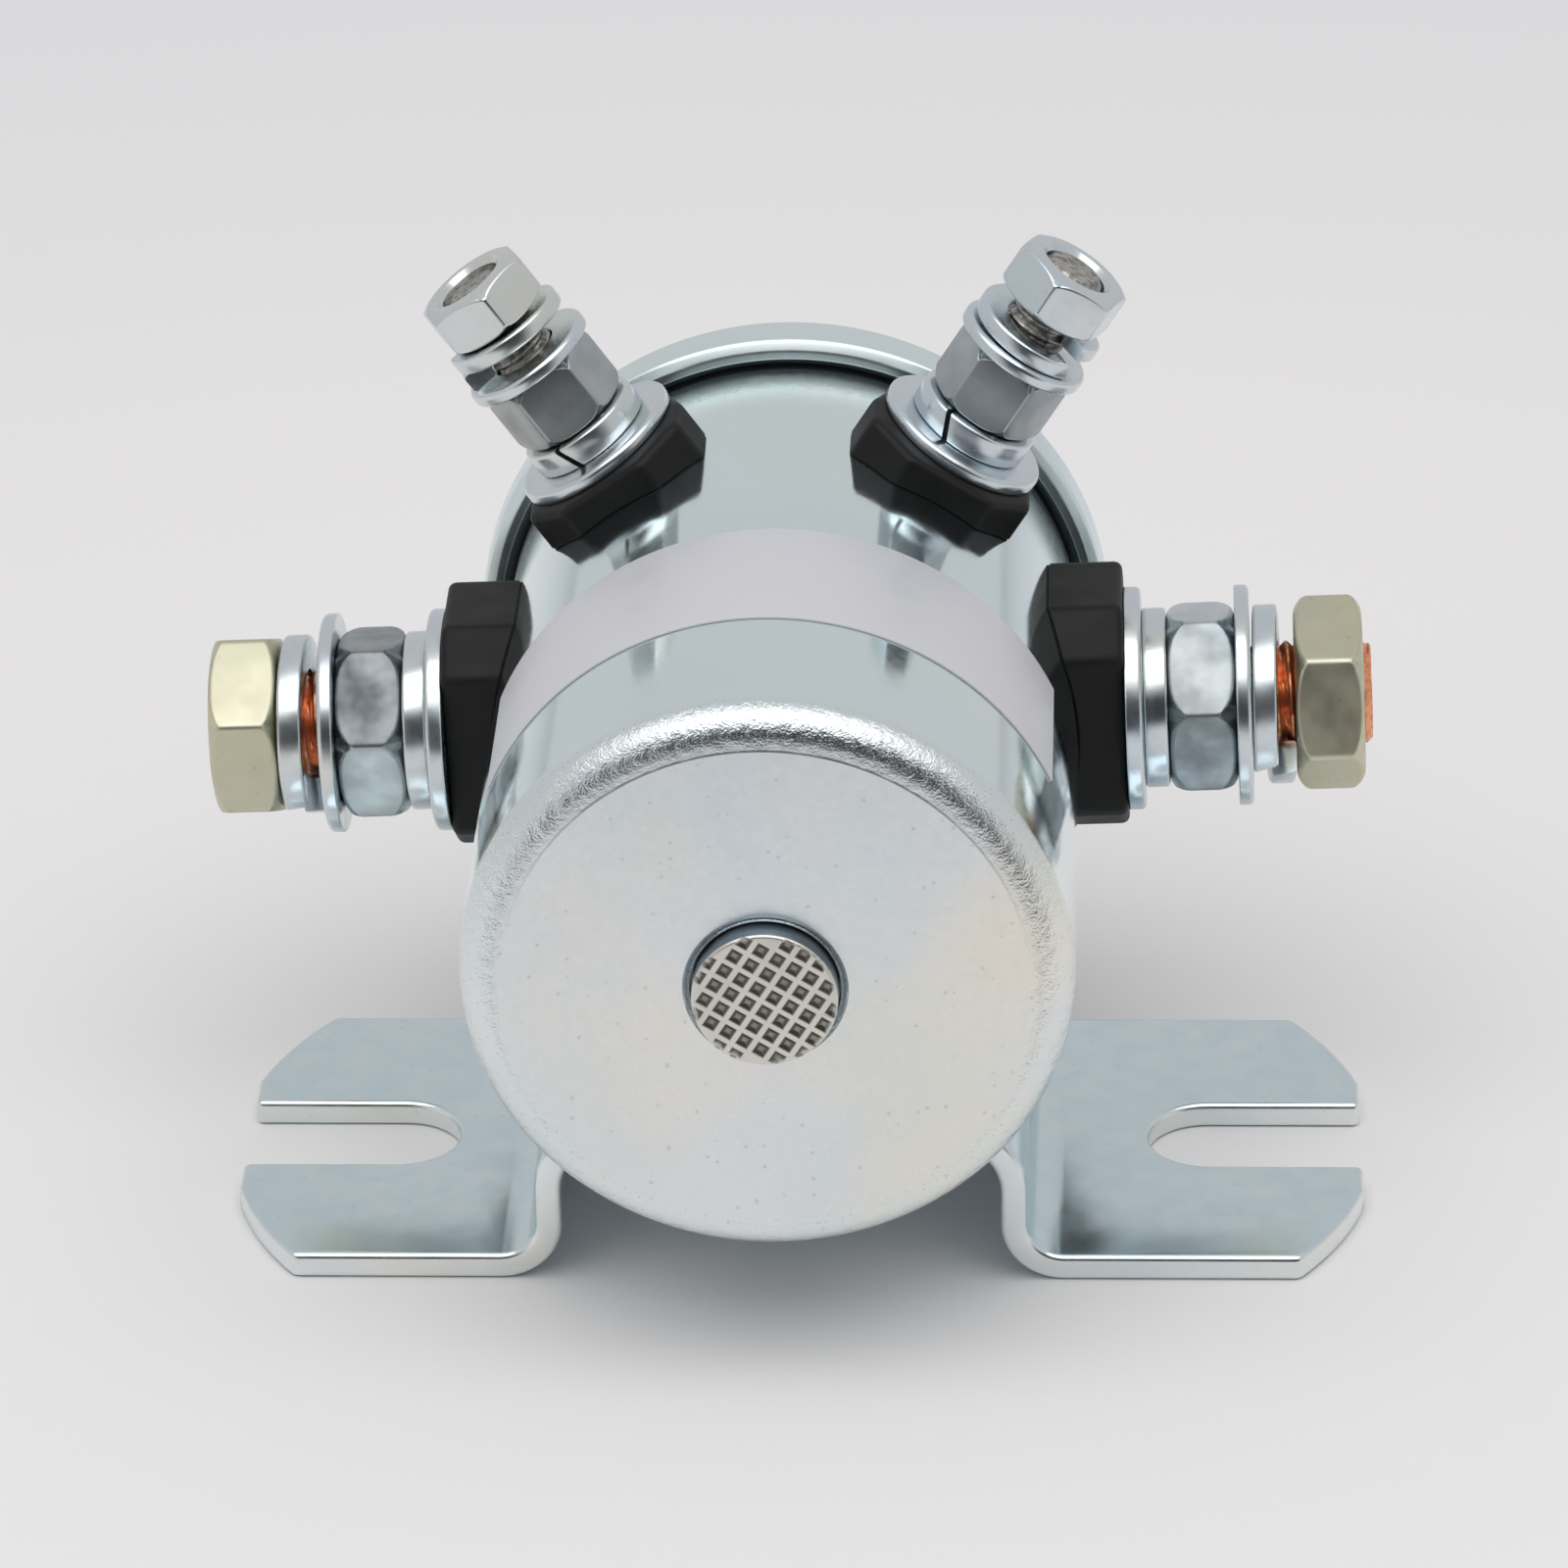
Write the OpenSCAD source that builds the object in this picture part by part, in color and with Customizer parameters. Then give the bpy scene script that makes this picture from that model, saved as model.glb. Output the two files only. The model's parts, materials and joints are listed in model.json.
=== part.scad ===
// Four-terminal direct-current contactor: a steel can on a folded mounting bracket.
// The origin lies midway between the two mounting slots, on the mounting plane z = 0.
// The closed front of the can faces -Y and its crimped rim +Y.

/* [Mounting bracket] */
// Sheet thickness of the bracket
plate_t = 2; // [1.5:0.1:3]
// Size of the bracket along the can
foot_depth = 35.4; // [28:0.2:44]
// Distance from the middle of the slots to the tip of a foot
foot_reach = 41.3; // [37:0.1:50]
// How far the can's axis lies to the left of the middle of the slots
can_shift = 1; // [0:0.1:2]
// Straight width of a foot at its tip
tip_w = 16; // [12:0.5:24]
// How far the front and back edges of a foot stop short of its tip
tip_back = 4.8; // [3:0.1:8]
// Width of the open mounting slots
slot_w = 8.9; // [6.5:0.1:10]
// Distance from the middle of the slots to their closed ends
slot_end = 25.6; // [24:0.1:30]
// Clear width of the tunnel between the two webs
tunnel_w = 31.6; // [28:0.2:36]
// Inner radius of the bend between a foot and its web
foot_bend_r = 2.6; // [1.5:0.1:4]
// Outer radius of the bend between a web and the saddle
top_bend_r = 6; // [4.5:0.1:7]

/* [Can] */
// Height of the can's axis above the mounting plane
axis_h = 32; // [30:0.1:36]
// Outer diameter of the can
can_d = 42.8; // [40:0.1:46]
// Sheet thickness of the can
can_wall = 1.5; // [1:0.1:2]
// Distance from the slot line to the can's front face
can_front = 32; // [28:0.5:38]
// Outer radius of the can's front edge
edge_r = 2.6; // [2:0.1:4]
// Turn of the whole can about its own axis in the bracket, in degrees
can_turn = 2; // [0:0.5:5]

/* [Rear rim] */
// Distance from the slot line to the front of the rim
rim_front = 24; // [23:0.1:26]
// How far the rim stands out from the can
rim_h = 2.2; // [1.8:0.1:3]
// Sheet thickness of the end cap
cap_t = 1; // [0.8:0.1:1.4]
// Width of the open groove between the rolled lip and the can
lip_gap = 0.7; // [0.4:0.1:1]
// Thickness of the gasket under the end cap
gasket_t = 0.8; // [0.4:0.1:1.2]
// Diameter of the sunk panel in the end cap
panel_d = 32; // [26:0.5:35]
// Depth of the sunk panel
panel_drop = 0.8; // [0.4:0.1:1]

/* [Label] */
// Distance from the can's front face to the label
label_start = 14.3; // [10:0.1:18]
// Width of the label
label_w = 14.1; // [10:0.1:16]
// Angle of the barrel that the label covers
label_span = 134; // [60:1:140]
// Thickness of the label
label_t = 0.15; // [0.1:0.01:0.3]

/* [Core and plunger] */
// Diameter of the fixed core and of the plunger
core_d = 13.2; // [12:0.1:14.4]
// Diameter of the core's riveted end in the can's front
rivet_d = 10.7; // [9:0.1:11.5]
// How far the riveted end stands out of the can
rivet_out = 1.7; // [0.8:0.1:2.2]
// Diameter of the can's front hole at its face
front_hole_d = 11.4; // [11.1:0.1:12]
// Distance between the struck pits in the riveted end
pit_pitch = 1.44; // [1.2:0.02:2]
// Width of a pit
pit_w = 0.92; // [0.6:0.02:1.1]
// Depth of a pit
pit_depth = 0.4; // [0.2:0.05:0.6]
// Turn of the pit pattern, in degrees
pit_turn = 33; // [0:1:90]
// Bevel round the riveted end
rivet_bevel = 0.3; // [0.1:0.05:0.5]
// Length of the fixed core inside the can
core_len = 17.4; // [14:0.2:20]
// Length of the plunger
plunger_len = 13.8; // [11:0.2:16]
// Travel of the plunger
travel = 3; // [2.4:0.1:3.4]
// Diameter of the spring pockets
pocket_d = 6.6; // [6.2:0.1:7.4]
// Depth of each spring pocket
pocket_depth = 4; // [3:0.1:5]

/* [Coil] */
// Wall of the bobbin's tube
bobbin_wall = 1.1; // [0.8:0.1:1.6]
// Thickness of the bobbin's flanges
flange_t = 1.2; // [0.8:0.1:1.6]
// Gap between the bobbin's flanges and the can
flange_gap = 0.7; // [0.6:0.1:1.3]
// How far the winding stays inside the flanges' rims
winding_inset = 1.6; // [1.4:0.1:4.2]
// Thickness of the tape round the winding
wrap_t = 0.35; // [0.2:0.05:0.6]
// Thickness of the flux plate behind the coil
flux_t = 2; // [1.5:0.1:2.6]
// Diameter of a sleeved coil lead
lead_d = 1.4; // [1:0.1:1.6]

/* [Main terminals] */
// Distance from the slot line to the main studs
main_y = 10.6; // [10:0.1:11.4]
// Diameter of a main stud
main_stud_d = 7.8; // [6:0.1:8]
// Width across the flats of the main nuts
main_flats = 12.7; // [11:0.1:14]
// Thickness of the main nuts
main_nut_t = 5; // [4:0.1:6.5]
// Diameter of the washer on the insulator
main_seat_d = 16.4; // [14:0.1:16.8]
// Thickness of the washer on the insulator
main_seat_t = 1.3; // [0.8:0.1:1.8]
// Diameter of the washer for the cable lug
main_lug_d = 16.2; // [14:0.1:18]
// Thickness of the washer for the cable lug
main_lug_t = 1.1; // [0.8:0.1:1.6]
// Outer diameter of the spring washers
main_lock_d = 13.2; // [12.4:0.1:14]
// Thickness of the spring washers
main_lock_t = 1.8; // [1.2:0.1:2.2]
// Room left for a cable lug under the loose nut
main_lug_room = 3.2; // [3.1:0.1:5]
// How far the left stud stands out of its nut, or below zero, how far it stays inside
main_stud_out_left = -0.3; // [-0.6:0.1:3]
// How far the right stud stands out of its nut, or below zero, how far it stays inside
main_stud_out_right = 0.6; // [-0.6:0.1:3]
// Height of a main insulator's outer face above the can
main_block_h = 3.5; // [2.4:0.1:5.6]
// Width of a main insulator round the can
main_block_w = 17.9; // [17:0.1:19]
// Length of a main insulator along the can
main_block_len = 14.4; // [12:0.1:15]
// How far a main insulator is set behind its stud
main_block_set = 1; // [0:0.1:1.5]
// Size of its cut corners round the can
main_cut_w = 2.6; // [1:0.1:4]
// Size of its cut corners along the can
main_cut_len = 3.4; // [1:0.1:5]
// Thickness of a contact head along the can
contact_t = 8.4; // [8:0.1:9]
// Width of a contact head
contact_w = 13; // [10:0.1:13.4]
// Length of a contact head across the can
contact_len = 5.5; // [4.5:0.1:6]
// Wall of the inner bush's collar round a main stud
main_collar_t = 1.4; // [1:0.1:1.6]
// Thickness of the inner bush under a contact head
main_pad_t = 1.9; // [1.5:0.1:2.2]

/* [Control terminals] */
// Distance from the slot line to the control studs
control_y = 14.7; // [14.2:0.1:15.2]
// Angle between the left control stud and the top of the can
control_lean_left = 33; // [30:0.5:36]
// Angle between the right control stud and the top of the can
control_lean_right = 34.5; // [30:0.5:36]
// Diameter of a control stud
control_stud_d = 4.8; // [4:0.1:5]
// Width across the flats of the control nuts
control_flats = 7.9; // [7:0.1:9]
// Thickness of the outer control nuts
control_nut_t = 3.75; // [3:0.05:5]
// Thickness of the inner control nuts
control_clamp_t = 5.3; // [4:0.1:6]
// Diameter of the washer on the insulator
control_seat_d = 12.8; // [10:0.1:14]
// Thickness of the washer on the insulator
control_seat_t = 1; // [0.8:0.1:1.6]
// Diameter of the washer for the wire's lug
control_lug_d = 10; // [9:0.1:11]
// Thickness of the washer for the wire's lug
control_lug_t = 1; // [0.6:0.1:1.4]
// Outer diameter of the spring washers
control_lock_d = 9.2; // [8:0.1:10]
// Thickness of the inner spring washers
control_clamp_lock_t = 2.05; // [1.2:0.05:2.4]
// Thickness of the outer spring washers
control_lock_t = 1.3; // [1:0.1:1.6]
// Room left for a lug under the loose nut
control_lug_room = 3.1; // [2.3:0.1:3.5]
// How far the left stud's end stays inside its nut
control_sunk_left = 0.6; // [0:0.1:1]
// How far the right stud's end stays inside its nut
control_sunk_right = 0.1; // [0:0.1:1]
// Height of a control insulator's outer face above the can
control_block_h = 2.25; // [2:0.05:4.6]
// Width of a control insulator round the can
control_block_w = 13.5; // [13:0.1:16]
// Length of a control insulator along the can
control_block_len = 15; // [14:0.1:17.6]
// How far a control insulator is set towards the top of the can
control_block_set = 0.4; // [0:0.1:0.8]
// Size of its cut corners round the can
control_cut_w = 3.3; // [1:0.1:4]
// Size of its front cut corners along the can
control_cut_len = 3; // [1:0.1:6]
// Size of its rear cut corners along the can
control_rear_cut_len = 8.2; // [1:0.1:9]
// Wall of the inner bush's collar round a control stud
control_collar_t = 1.1; // [0.9:0.1:1.3]
// Thickness of the inner bush under a control stud's head
control_pad_t = 1.5; // [1.2:0.1:2]
// Thickness of a control stud's head
control_head_t = 2.2; // [1.6:0.1:2.4]

/* [Moving contact] */
// Diameter of the contact disc
disc_d = 31; // [28:0.2:31.4]
// Thickness of the contact disc
disc_t = 2; // [1.4:0.1:2.4]
// Open gap between the disc and the contact heads
contact_gap = 2.2; // [1.6:0.1:2.3]
// Diameter of the contact rod
rod_d = 5; // [4.4:0.1:6]
// Diameter of the rod's rear end
rod_tip_d = 4; // [3.2:0.1:4.2]
// Thickness of the insulating washers on the disc
bush_t = 1; // [0.8:0.1:1.4]
// Length of the contact spring
contact_spring_len = 3.4; // [3:0.1:3.8]
// Width of the rims of the disc's insulating washers and of the spring's seat
washer_rim = 2.5; // [2:0.1:3]
// Length of the rod's front end that is pressed into the plunger
rod_hold = 6; // [4:0.1:8]

/* [Nut angles] */
// Turn of the left outer nut on its main stud
terminal_turn_left = 56; // [0:1:59]
// Turn of the right outer nut on its main stud
terminal_turn_right = 45; // [0:1:59]
// Turn of the left inner nut on its main stud
clamp_turn_left = 42; // [0:1:59]
// Turn of the right inner nut on its main stud
clamp_turn_right = 15; // [0:1:59]
// Turn of the left outer nut on its control stud
control_turn_left = 50; // [0:1:59]
// Turn of the right outer nut on its control stud
control_turn_right = 9; // [0:1:59]
// Turn of the left inner nut on its control stud
control_clamp_turn_left = 12; // [0:1:59]
// Turn of the right inner nut on its control stud
control_clamp_turn_right = 48; // [0:1:59]

/* [Hidden] */

SIDES = ["left", "right"];
LEFT = 0;
RIGHT = 1;
$fn = 96;
arc_steps = 16;

// Clearances
seat_gap = 0.02;
slip_gap = 0.1;
run_gap = 0.07;
thread_gap = 0.05;

// Small sizes
liner_t = 0.8;
return_wire_r = 0.4;
contact_wire_r = 0.3;
spring_room = 0.3;
lead_room = 0.3;
plunger_show = 2.5;
collar_up = 0.6;
main_pad_rim = 1;
main_pad_end = 1.3;
control_pad_rim = 1.5;
control_pad_end = 1;
control_head_rim = 1.1;
block_bevel = 0.4;
neck_t = 0.8;
spring_rim = 0.9;
spring_seat_t = 0.7;
clip_t = 0.6;
clip_rim = 1.6;
groove_depth = 0.5;
rod_end = 0.6;
main_tip = 0.5;
control_tip = 0.4;
nut_face = 0.465;
split_w = 0.3;
spring_split = 20;

// Finishes, as the object shows them
zinc = [0.76, 0.79, 0.80];
olive_zinc = [0.78, 0.77, 0.66];
copper = [0.80, 0.45, 0.28];
black = [0.12, 0.12, 0.12];
silver_paper = [0.80, 0.79, 0.81];
steel = [0.62, 0.63, 0.64];
nylon = [0.88, 0.86, 0.78];
enamel = [0.62, 0.32, 0.14];
tape = [0.86, 0.75, 0.38];
fibre = [0.45, 0.28, 0.20];
gasket_black = [0.16, 0.16, 0.17];

// Can
axis_x = -can_shift;
can_r = can_d / 2;
can_in_r = can_r - can_wall;
front_y = -can_front;
wall_y = front_y + can_wall;
rim_r = can_r + rim_h;
flange_r = rim_r - cap_t - thread_gap;
flange_y = rim_front + cap_t;
gasket_y = flange_y + can_wall;
cap_y = gasket_y + gasket_t;
rim_back = cap_y + cap_t;
panel_y = cap_y - panel_drop;
liner_y = panel_y - liner_t;

// Bracket
web_in = tunnel_w / 2;
web_out = web_in + plate_t;
foot_bend_out = foot_bend_r + plate_t;
saddle_r = can_r + seat_gap;
bend_x = web_out - top_bend_r;
bend_z = axis_h - sqrt(pow(saddle_r + top_bend_r, 2) - pow(bend_x, 2));
bend_angle = atan2(axis_h - bend_z, -bend_x);
slot_round_x = slot_end + slot_w / 2;
side_reach = foot_reach - tip_back;
tip_arc_x = (pow(foot_reach, 2) + pow(tip_w / 2, 2) - pow(side_reach, 2) - pow(foot_depth / 2, 2))
    / (2 * tip_back);
tip_arc_r = sqrt(pow(foot_reach - tip_arc_x, 2) + pow(tip_w / 2, 2));

// Core, coil and plunger
core_r = core_d / 2;
bore_r = core_r + run_gap;
rivet_r = rivet_d / 2;
rivet_y = front_y - rivet_out;
core_end = wall_y + core_len;
coil_start = wall_y + slip_gap;
tube_r = bore_r + bobbin_wall;
spool_r = can_in_r - flange_gap;
winding_r = spool_r - winding_inset;
plunger_front = core_end + travel + slip_gap;
plunger_back = plunger_front + plunger_len;
flux_back = plunger_back - plunger_show;
flux_front = flux_back - flux_t;
coil_end = flux_front;
pocket_r = pocket_d / 2;
return_mid_r = pocket_r - return_wire_r - spring_room;
lead_r = lead_d / 2;
lead_place = winding_r - lead_r;
notch_w = lead_d + 2 * lead_room;

// Main terminals, as distances from the can's axis
main_stud_r = main_stud_d / 2;
main_hole_r = main_stud_r + main_collar_t;
contact_in = can_in_r - main_pad_t - contact_len;
contact_out = contact_in + contact_len;
main_face_r = can_r + main_block_h;
main_seat_z = main_face_r;
main_clamp_lock_z = main_seat_z + main_seat_t;
main_clamp_z = main_clamp_lock_z + main_lock_t;
main_lug_z = main_clamp_z + main_nut_t;
main_lock_z = main_lug_z + main_lug_t;
main_nut_z = main_lock_z + main_lug_room;
main_stud_ends = [for (out = [main_stud_out_left, main_stud_out_right]) main_nut_z + main_nut_t + out];
main_lock_rise = main_lug_room - main_lock_t - 3 * seat_gap;

// Control terminals, as distances from the can's axis
control_stud_r = control_stud_d / 2;
control_hole_r = control_stud_r + control_collar_t;
control_head_r = control_stud_r + control_head_rim;
control_head_out = can_in_r - control_pad_t;
control_head_in = control_head_out - control_head_t;
control_face_r = can_r + control_block_h;
control_clamp_lock_z = control_face_r + control_seat_t;
control_clamp_z = control_clamp_lock_z + control_clamp_lock_t;
control_lug_z = control_clamp_z + control_clamp_t;
control_lock_z = control_lug_z + control_lug_t;
control_nut_z = control_lock_z + control_lug_room;
control_stud_ends = [
    for (sunk = [control_sunk_left, control_sunk_right]) control_nut_z + control_nut_t - sunk
];
control_lock_rise = control_lug_room - control_lock_t - 3 * seat_gap;

// Moving contact, along the can
disc_y = main_y + contact_t / 2 + contact_gap + thread_gap;
disc_back = disc_y + disc_t;
rod_r = rod_d / 2;
rod_tip_r = rod_tip_d / 2;
rod_front = plunger_back - rod_hold;
rod_shoulder = disc_y - bush_t;
bush_r = rod_r + washer_rim;
bush_neck_r = rod_tip_r + run_gap + neck_t;
spring_y = disc_back + bush_t;
contact_mid_r = rod_tip_r + run_gap + contact_wire_r + spring_rim;
spring_seat_y = spring_y + contact_spring_len;
clip_groove_y = spring_seat_y + spring_seat_t + slip_gap;
clip_groove_r = rod_tip_r - groove_depth;
rod_back = clip_groove_y + clip_t + rod_end;

// Turns of a nut, chosen by side
terminal_turns = [terminal_turn_left, terminal_turn_right];
clamp_turns = [clamp_turn_left, clamp_turn_right];
control_turns = [control_turn_left, control_turn_right];
control_clamp_turns = [control_clamp_turn_left, control_clamp_turn_right];
// Loose spring washers: the left ones lie against their nuts and the right ones on their lug washers
lock_on_nut = [true, false];
main_lock_turns = [225, 300];
control_lock_turns = [205, 310];
washer_turns = 0.97;
washer_late = 2;
// Where the splits of the inner spring washers lie round their studs
main_split_angles = [60, 110];
control_split_angles = [258, 240];

// Directions of the studs round the can, from +X towards +Z
main_angles = [180 + can_turn, can_turn];
control_angles = [90 + control_lean_left + can_turn, 90 - control_lean_right + can_turn];

// Placing: the local z axis runs along the can towards the rear, or outwards along a stud
module along_can(y) {
    translate([axis_x, y, axis_h]) rotate([-90, 0, 0]) children();
}

module on_stud(angle, y) {
    translate([axis_x, y, axis_h]) rotate([0, 90 - angle, 0]) children();
}

module main_place(side) {
    on_stud(main_angles[side], main_y) children();
}

module control_place(side) {
    on_stud(control_angles[side], control_y) children();
}

// Shared shapes
module tube(r_out, r_in, length) {
    difference() {
        cylinder(r = r_out, h = length);
        translate([0, 0, -1]) cylinder(r = r_in, h = length + 2);
    }
}

module flat_washer(diameter, thickness, hole_r) {
    edge = thickness / 8;
    r = diameter / 2;
    rotate_extrude() polygon([
        [hole_r, 0], [r - edge, 0], [r, edge], [r, thickness - edge], [r - edge, thickness], [hole_r, thickness]
    ]);
}

// A spring washer pressed flat, with its slanting split
module pressed_spring_washer(diameter, thickness, hole_r, split_angle) {
    rotate([0, 0, split_angle]) difference() {
        tube(diameter / 2, hole_r, thickness);
        translate([diameter / 4 + hole_r / 2, 0, thickness / 2])
            rotate([spring_split, 0, 0]) cube([diameter / 2, split_w, 3 * thickness], center = true);
    }
}

// A solid swept through a list of rings that all have the same number of points
module swept(rings) {
    count = len(rings);
    around = len(rings[0]);
    points = [for (ring = rings) each ring];
    sides = [for (i = [0 : count - 2], j = [0 : around - 1])
        let (k = (j + 1) % around)
        [i * around + j, i * around + k, (i + 1) * around + k, (i + 1) * around + j]];
    first = [for (j = [around - 1 : -1 : 0]) j];
    last = [for (j = [0 : around - 1]) (count - 1) * around + j];
    polyhedron(points = points, faces = concat(sides, [first, last]), convexity = 6);
}

// The rings of a section carried round a helix that rises late in its turn where late is over 1;
// the section's points are [radius, height]
function helix_rings(section, turns, rise, steps, late = 1) = [
    for (i = [0 : steps])
        let (angle = 360 * turns * i / steps, lift = rise * pow(i / steps, late))
        [for (p = section) [p[0] * cos(angle), p[0] * sin(angle), p[1] + lift]]
];

// A loose spring washer, sprung open by its left-hand helical rise
module open_spring_washer(diameter, thickness, hole_r, rise) {
    r = diameter / 2;
    section = [[hole_r, 0], [r, 0], [r, thickness], [hole_r, thickness]];
    mirror([0, 1, 0]) swept(helix_rings(section, washer_turns, rise, 40, washer_late));
}

// Its place between the lug washer and the loose nut: upright on the one or turned over on the other
module in_lug_room(start, room, turn, on_nut) {
    translate([0, 0, on_nut ? start + room - seat_gap : start + seat_gap])
        rotate([0, 0, turn]) rotate([on_nut ? 180 : 0, 0, 0]) children();
}

// A round-wire coil spring that fills the given length
module coil_spring(mid_r, wire_r, length, turns) {
    section = [for (k = [0 : 7]) [mid_r + wire_r * cos(45 * k), wire_r + wire_r * sin(45 * k)]];
    swept(helix_rings(section, turns, length - 2 * wire_r, 14 * turns));
}

module nut(flats, thickness, bore_radius, turn) {
    corner_r = flats / 2 / cos(30);
    face_r = flats * nut_face;
    cut = (corner_r - face_r) * tan(30);
    rotate([0, 0, turn]) difference() {
        intersection() {
            cylinder(r = corner_r, h = thickness, $fn = 6);
            rotate_extrude() polygon([
                [0, 0], [face_r, 0], [corner_r, cut], [corner_r, thickness - cut],
                [face_r, thickness], [0, thickness]
            ]);
        }
        translate([0, 0, -1]) cylinder(r = bore_radius, h = thickness + 2);
        nut_countersink(bore_radius);
        translate([0, 0, thickness]) mirror([0, 0, 1]) nut_countersink(bore_radius);
    }
}

module nut_countersink(bore_radius) {
    sink = 0.45;
    translate([0, 0, -sink]) cylinder(r1 = bore_radius + 2 * sink, r2 = bore_radius, h = 2 * sink);
}

// Corner points of a block with cut corners, whose front and rear cuts may differ in length
function cut_corner(w, l, cut_w, front_l, rear_l) = [
    [w / 2, -l / 2 + front_l], [w / 2, l / 2 - rear_l], [w / 2 - cut_w, l / 2], [-w / 2 + cut_w, l / 2],
    [-w / 2, l / 2 - rear_l], [-w / 2, -l / 2 + front_l], [-w / 2 + cut_w, -l / 2], [w / 2 - cut_w, -l / 2]
];

// Takes a narrow bevel off the upper edges of a block with that outline
module edge_bevels(outline, z, bevel) {
    for (i = [0 : len(outline) - 1]) {
        a = outline[i];
        b = outline[(i + 1) % len(outline)];
        translate([(a[0] + b[0]) / 2, (a[1] + b[1]) / 2, z])
            rotate([0, 0, atan2(b[1] - a[1], b[0] - a[0])]) rotate([45, 0, 0])
                cube([norm(b - a) + 4 * bevel, bevel * sqrt(2), bevel * sqrt(2)], center = true);
    }
}

// An insulator that straddles the can, with a seat for the collar of its inner bush
module insulator(outline, shift, face_r, stud_radius, collar_r, collar_top) {
    difference() {
        translate([shift[0], shift[1], can_r / 2])
            linear_extrude(height = face_r - can_r / 2) polygon(outline);
        rotate([90, 0, 0]) cylinder(r = can_r + seat_gap, h = 2 * can_d, center = true);
        cylinder(r = stud_radius + slip_gap, h = 2 * can_d);
        cylinder(r = collar_r + slip_gap, h = collar_top + slip_gap);
        translate(shift) edge_bevels(outline, face_r, block_bevel);
    }
}

// The inner bush: a pad against the can's wall and a collar through the hole
module inner_bush(w, l, pad_r, stud_radius, collar_r, collar_top) {
    difference() {
        union() {
            intersection() {
                translate([-w / 2, -l / 2, pad_r]) cube([w, l, can_in_r - pad_r]);
                rotate([90, 0, 0]) cylinder(r = can_in_r - thread_gap, h = 2 * l, center = true);
            }
            translate([0, 0, pad_r]) cylinder(r = collar_r, h = collar_top - pad_r);
        }
        cylinder(r = stud_radius + thread_gap, h = can_d);
    }
}

// Can
module can_outline(r, front, back, corner) {
    translate([0, front + corner]) square([r, back - front - corner]);
    translate([0, front]) square([r - corner, corner]);
    translate([r - corner, front + corner]) circle(r = corner);
}

module can() {
    color(zinc) difference() {
        along_can(0) rotate_extrude() intersection() {
            difference() {
                union() {
                    can_outline(can_r, front_y, gasket_y, edge_r);
                    translate([0, flange_y]) square([flange_r, can_wall]);
                }
                can_outline(can_in_r, wall_y, gasket_y + 1, max(edge_r - can_wall, 0.3));
            }
            translate([0, front_y - 1]) square([rim_r, 2 * can_d + can_front]);
        }
        along_can(front_y - 1) cylinder(r = rivet_r + slip_gap, h = can_wall + 2);
        along_can(front_y) translate([0, 0, -0.01])
            cylinder(r1 = front_hole_d / 2, r2 = rivet_r + slip_gap, h = can_wall / 2);
        for (side = [LEFT, RIGHT]) {
            main_place(side) cylinder(r = main_hole_r + slip_gap, h = can_d);
            control_place(side) cylinder(r = control_hole_r + slip_gap, h = can_d);
        }
    }
}

// End cap: a sunk panel, a skirt round the flange and a rolled lip
module end_cap() {
    corner = cap_t;
    lip_in = can_r + lip_gap;
    color(zinc) along_can(0) rotate_extrude() difference() {
        union() {
            translate([0, rim_front + corner]) square([rim_r, rim_back - rim_front - 2 * corner]);
            translate([0, rim_front]) square([rim_r - corner, rim_back - rim_front]);
            translate([rim_r - corner, rim_front + corner]) circle(r = corner);
            translate([rim_r - corner, rim_back - corner]) circle(r = corner);
        }
        translate([-1, rim_front - 1]) square([lip_in + 1, cap_y - rim_front + 1]);
        translate([0, flange_y]) square([rim_r - cap_t, cap_y - flange_y]);
        translate([-1, cap_y + cap_t - panel_drop]) square([panel_d / 2 + 1, panel_drop + 1]);
    }
    color(zinc) along_can(panel_y) cylinder(r = panel_d / 2 + cap_t, h = panel_drop + slip_gap);
}

module cap_gasket() {
    color(gasket_black) along_can(gasket_y) tube(flange_r, panel_d / 2 + cap_t + slip_gap, gasket_t);
}

module end_liner() {
    color(fibre) along_can(liner_y) cylinder(r = can_in_r - slip_gap, h = liner_t);
}

module label() {
    start = 90 + can_turn / 2 - label_span / 2;
    color(silver_paper) translate([axis_x, front_y + label_start, axis_h]) rotate([90, 0, 0])
        mirror([0, 0, 1]) rotate([0, 0, start]) rotate_extrude(angle = label_span)
            translate([can_r + seat_gap, 0]) square([label_t, label_w]);
}

// Points along an arc
function arc(centre, r, from, to) = [for (i = [0 : arc_steps])
    let (a = from + (to - from) * i / arc_steps)
    [centre[0] + r * cos(a), centre[1] + r * sin(a)]];

// Bracket: the side view of one half, from the top of the saddle's middle round to its underside
function half_outline(reach) =
    let (axis = [0, axis_h], top_bend = [bend_x, bend_z], foot_bend = [web_out + foot_bend_r, foot_bend_out])
    concat(
        arc(axis, saddle_r, 270, 180 + bend_angle),
        arc(top_bend, top_bend_r, bend_angle, 0),
        arc(foot_bend, foot_bend_r, 180, 270),
        [[reach, plate_t], [reach, 0]],
        arc(foot_bend, foot_bend_out, 270, 180),
        arc(top_bend, top_bend_r - plate_t, 0, bend_angle),
        arc(axis, saddle_r + plate_t, 180 + bend_angle, 270)
    );

module bracket_side_view(reach_left, reach_right) {
    left = half_outline(reach_left);
    polygon(concat(half_outline(reach_right), [for (i = [len(left) - 2 : -1 : 1]) [-left[i][0], left[i][1]]]));
}

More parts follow.
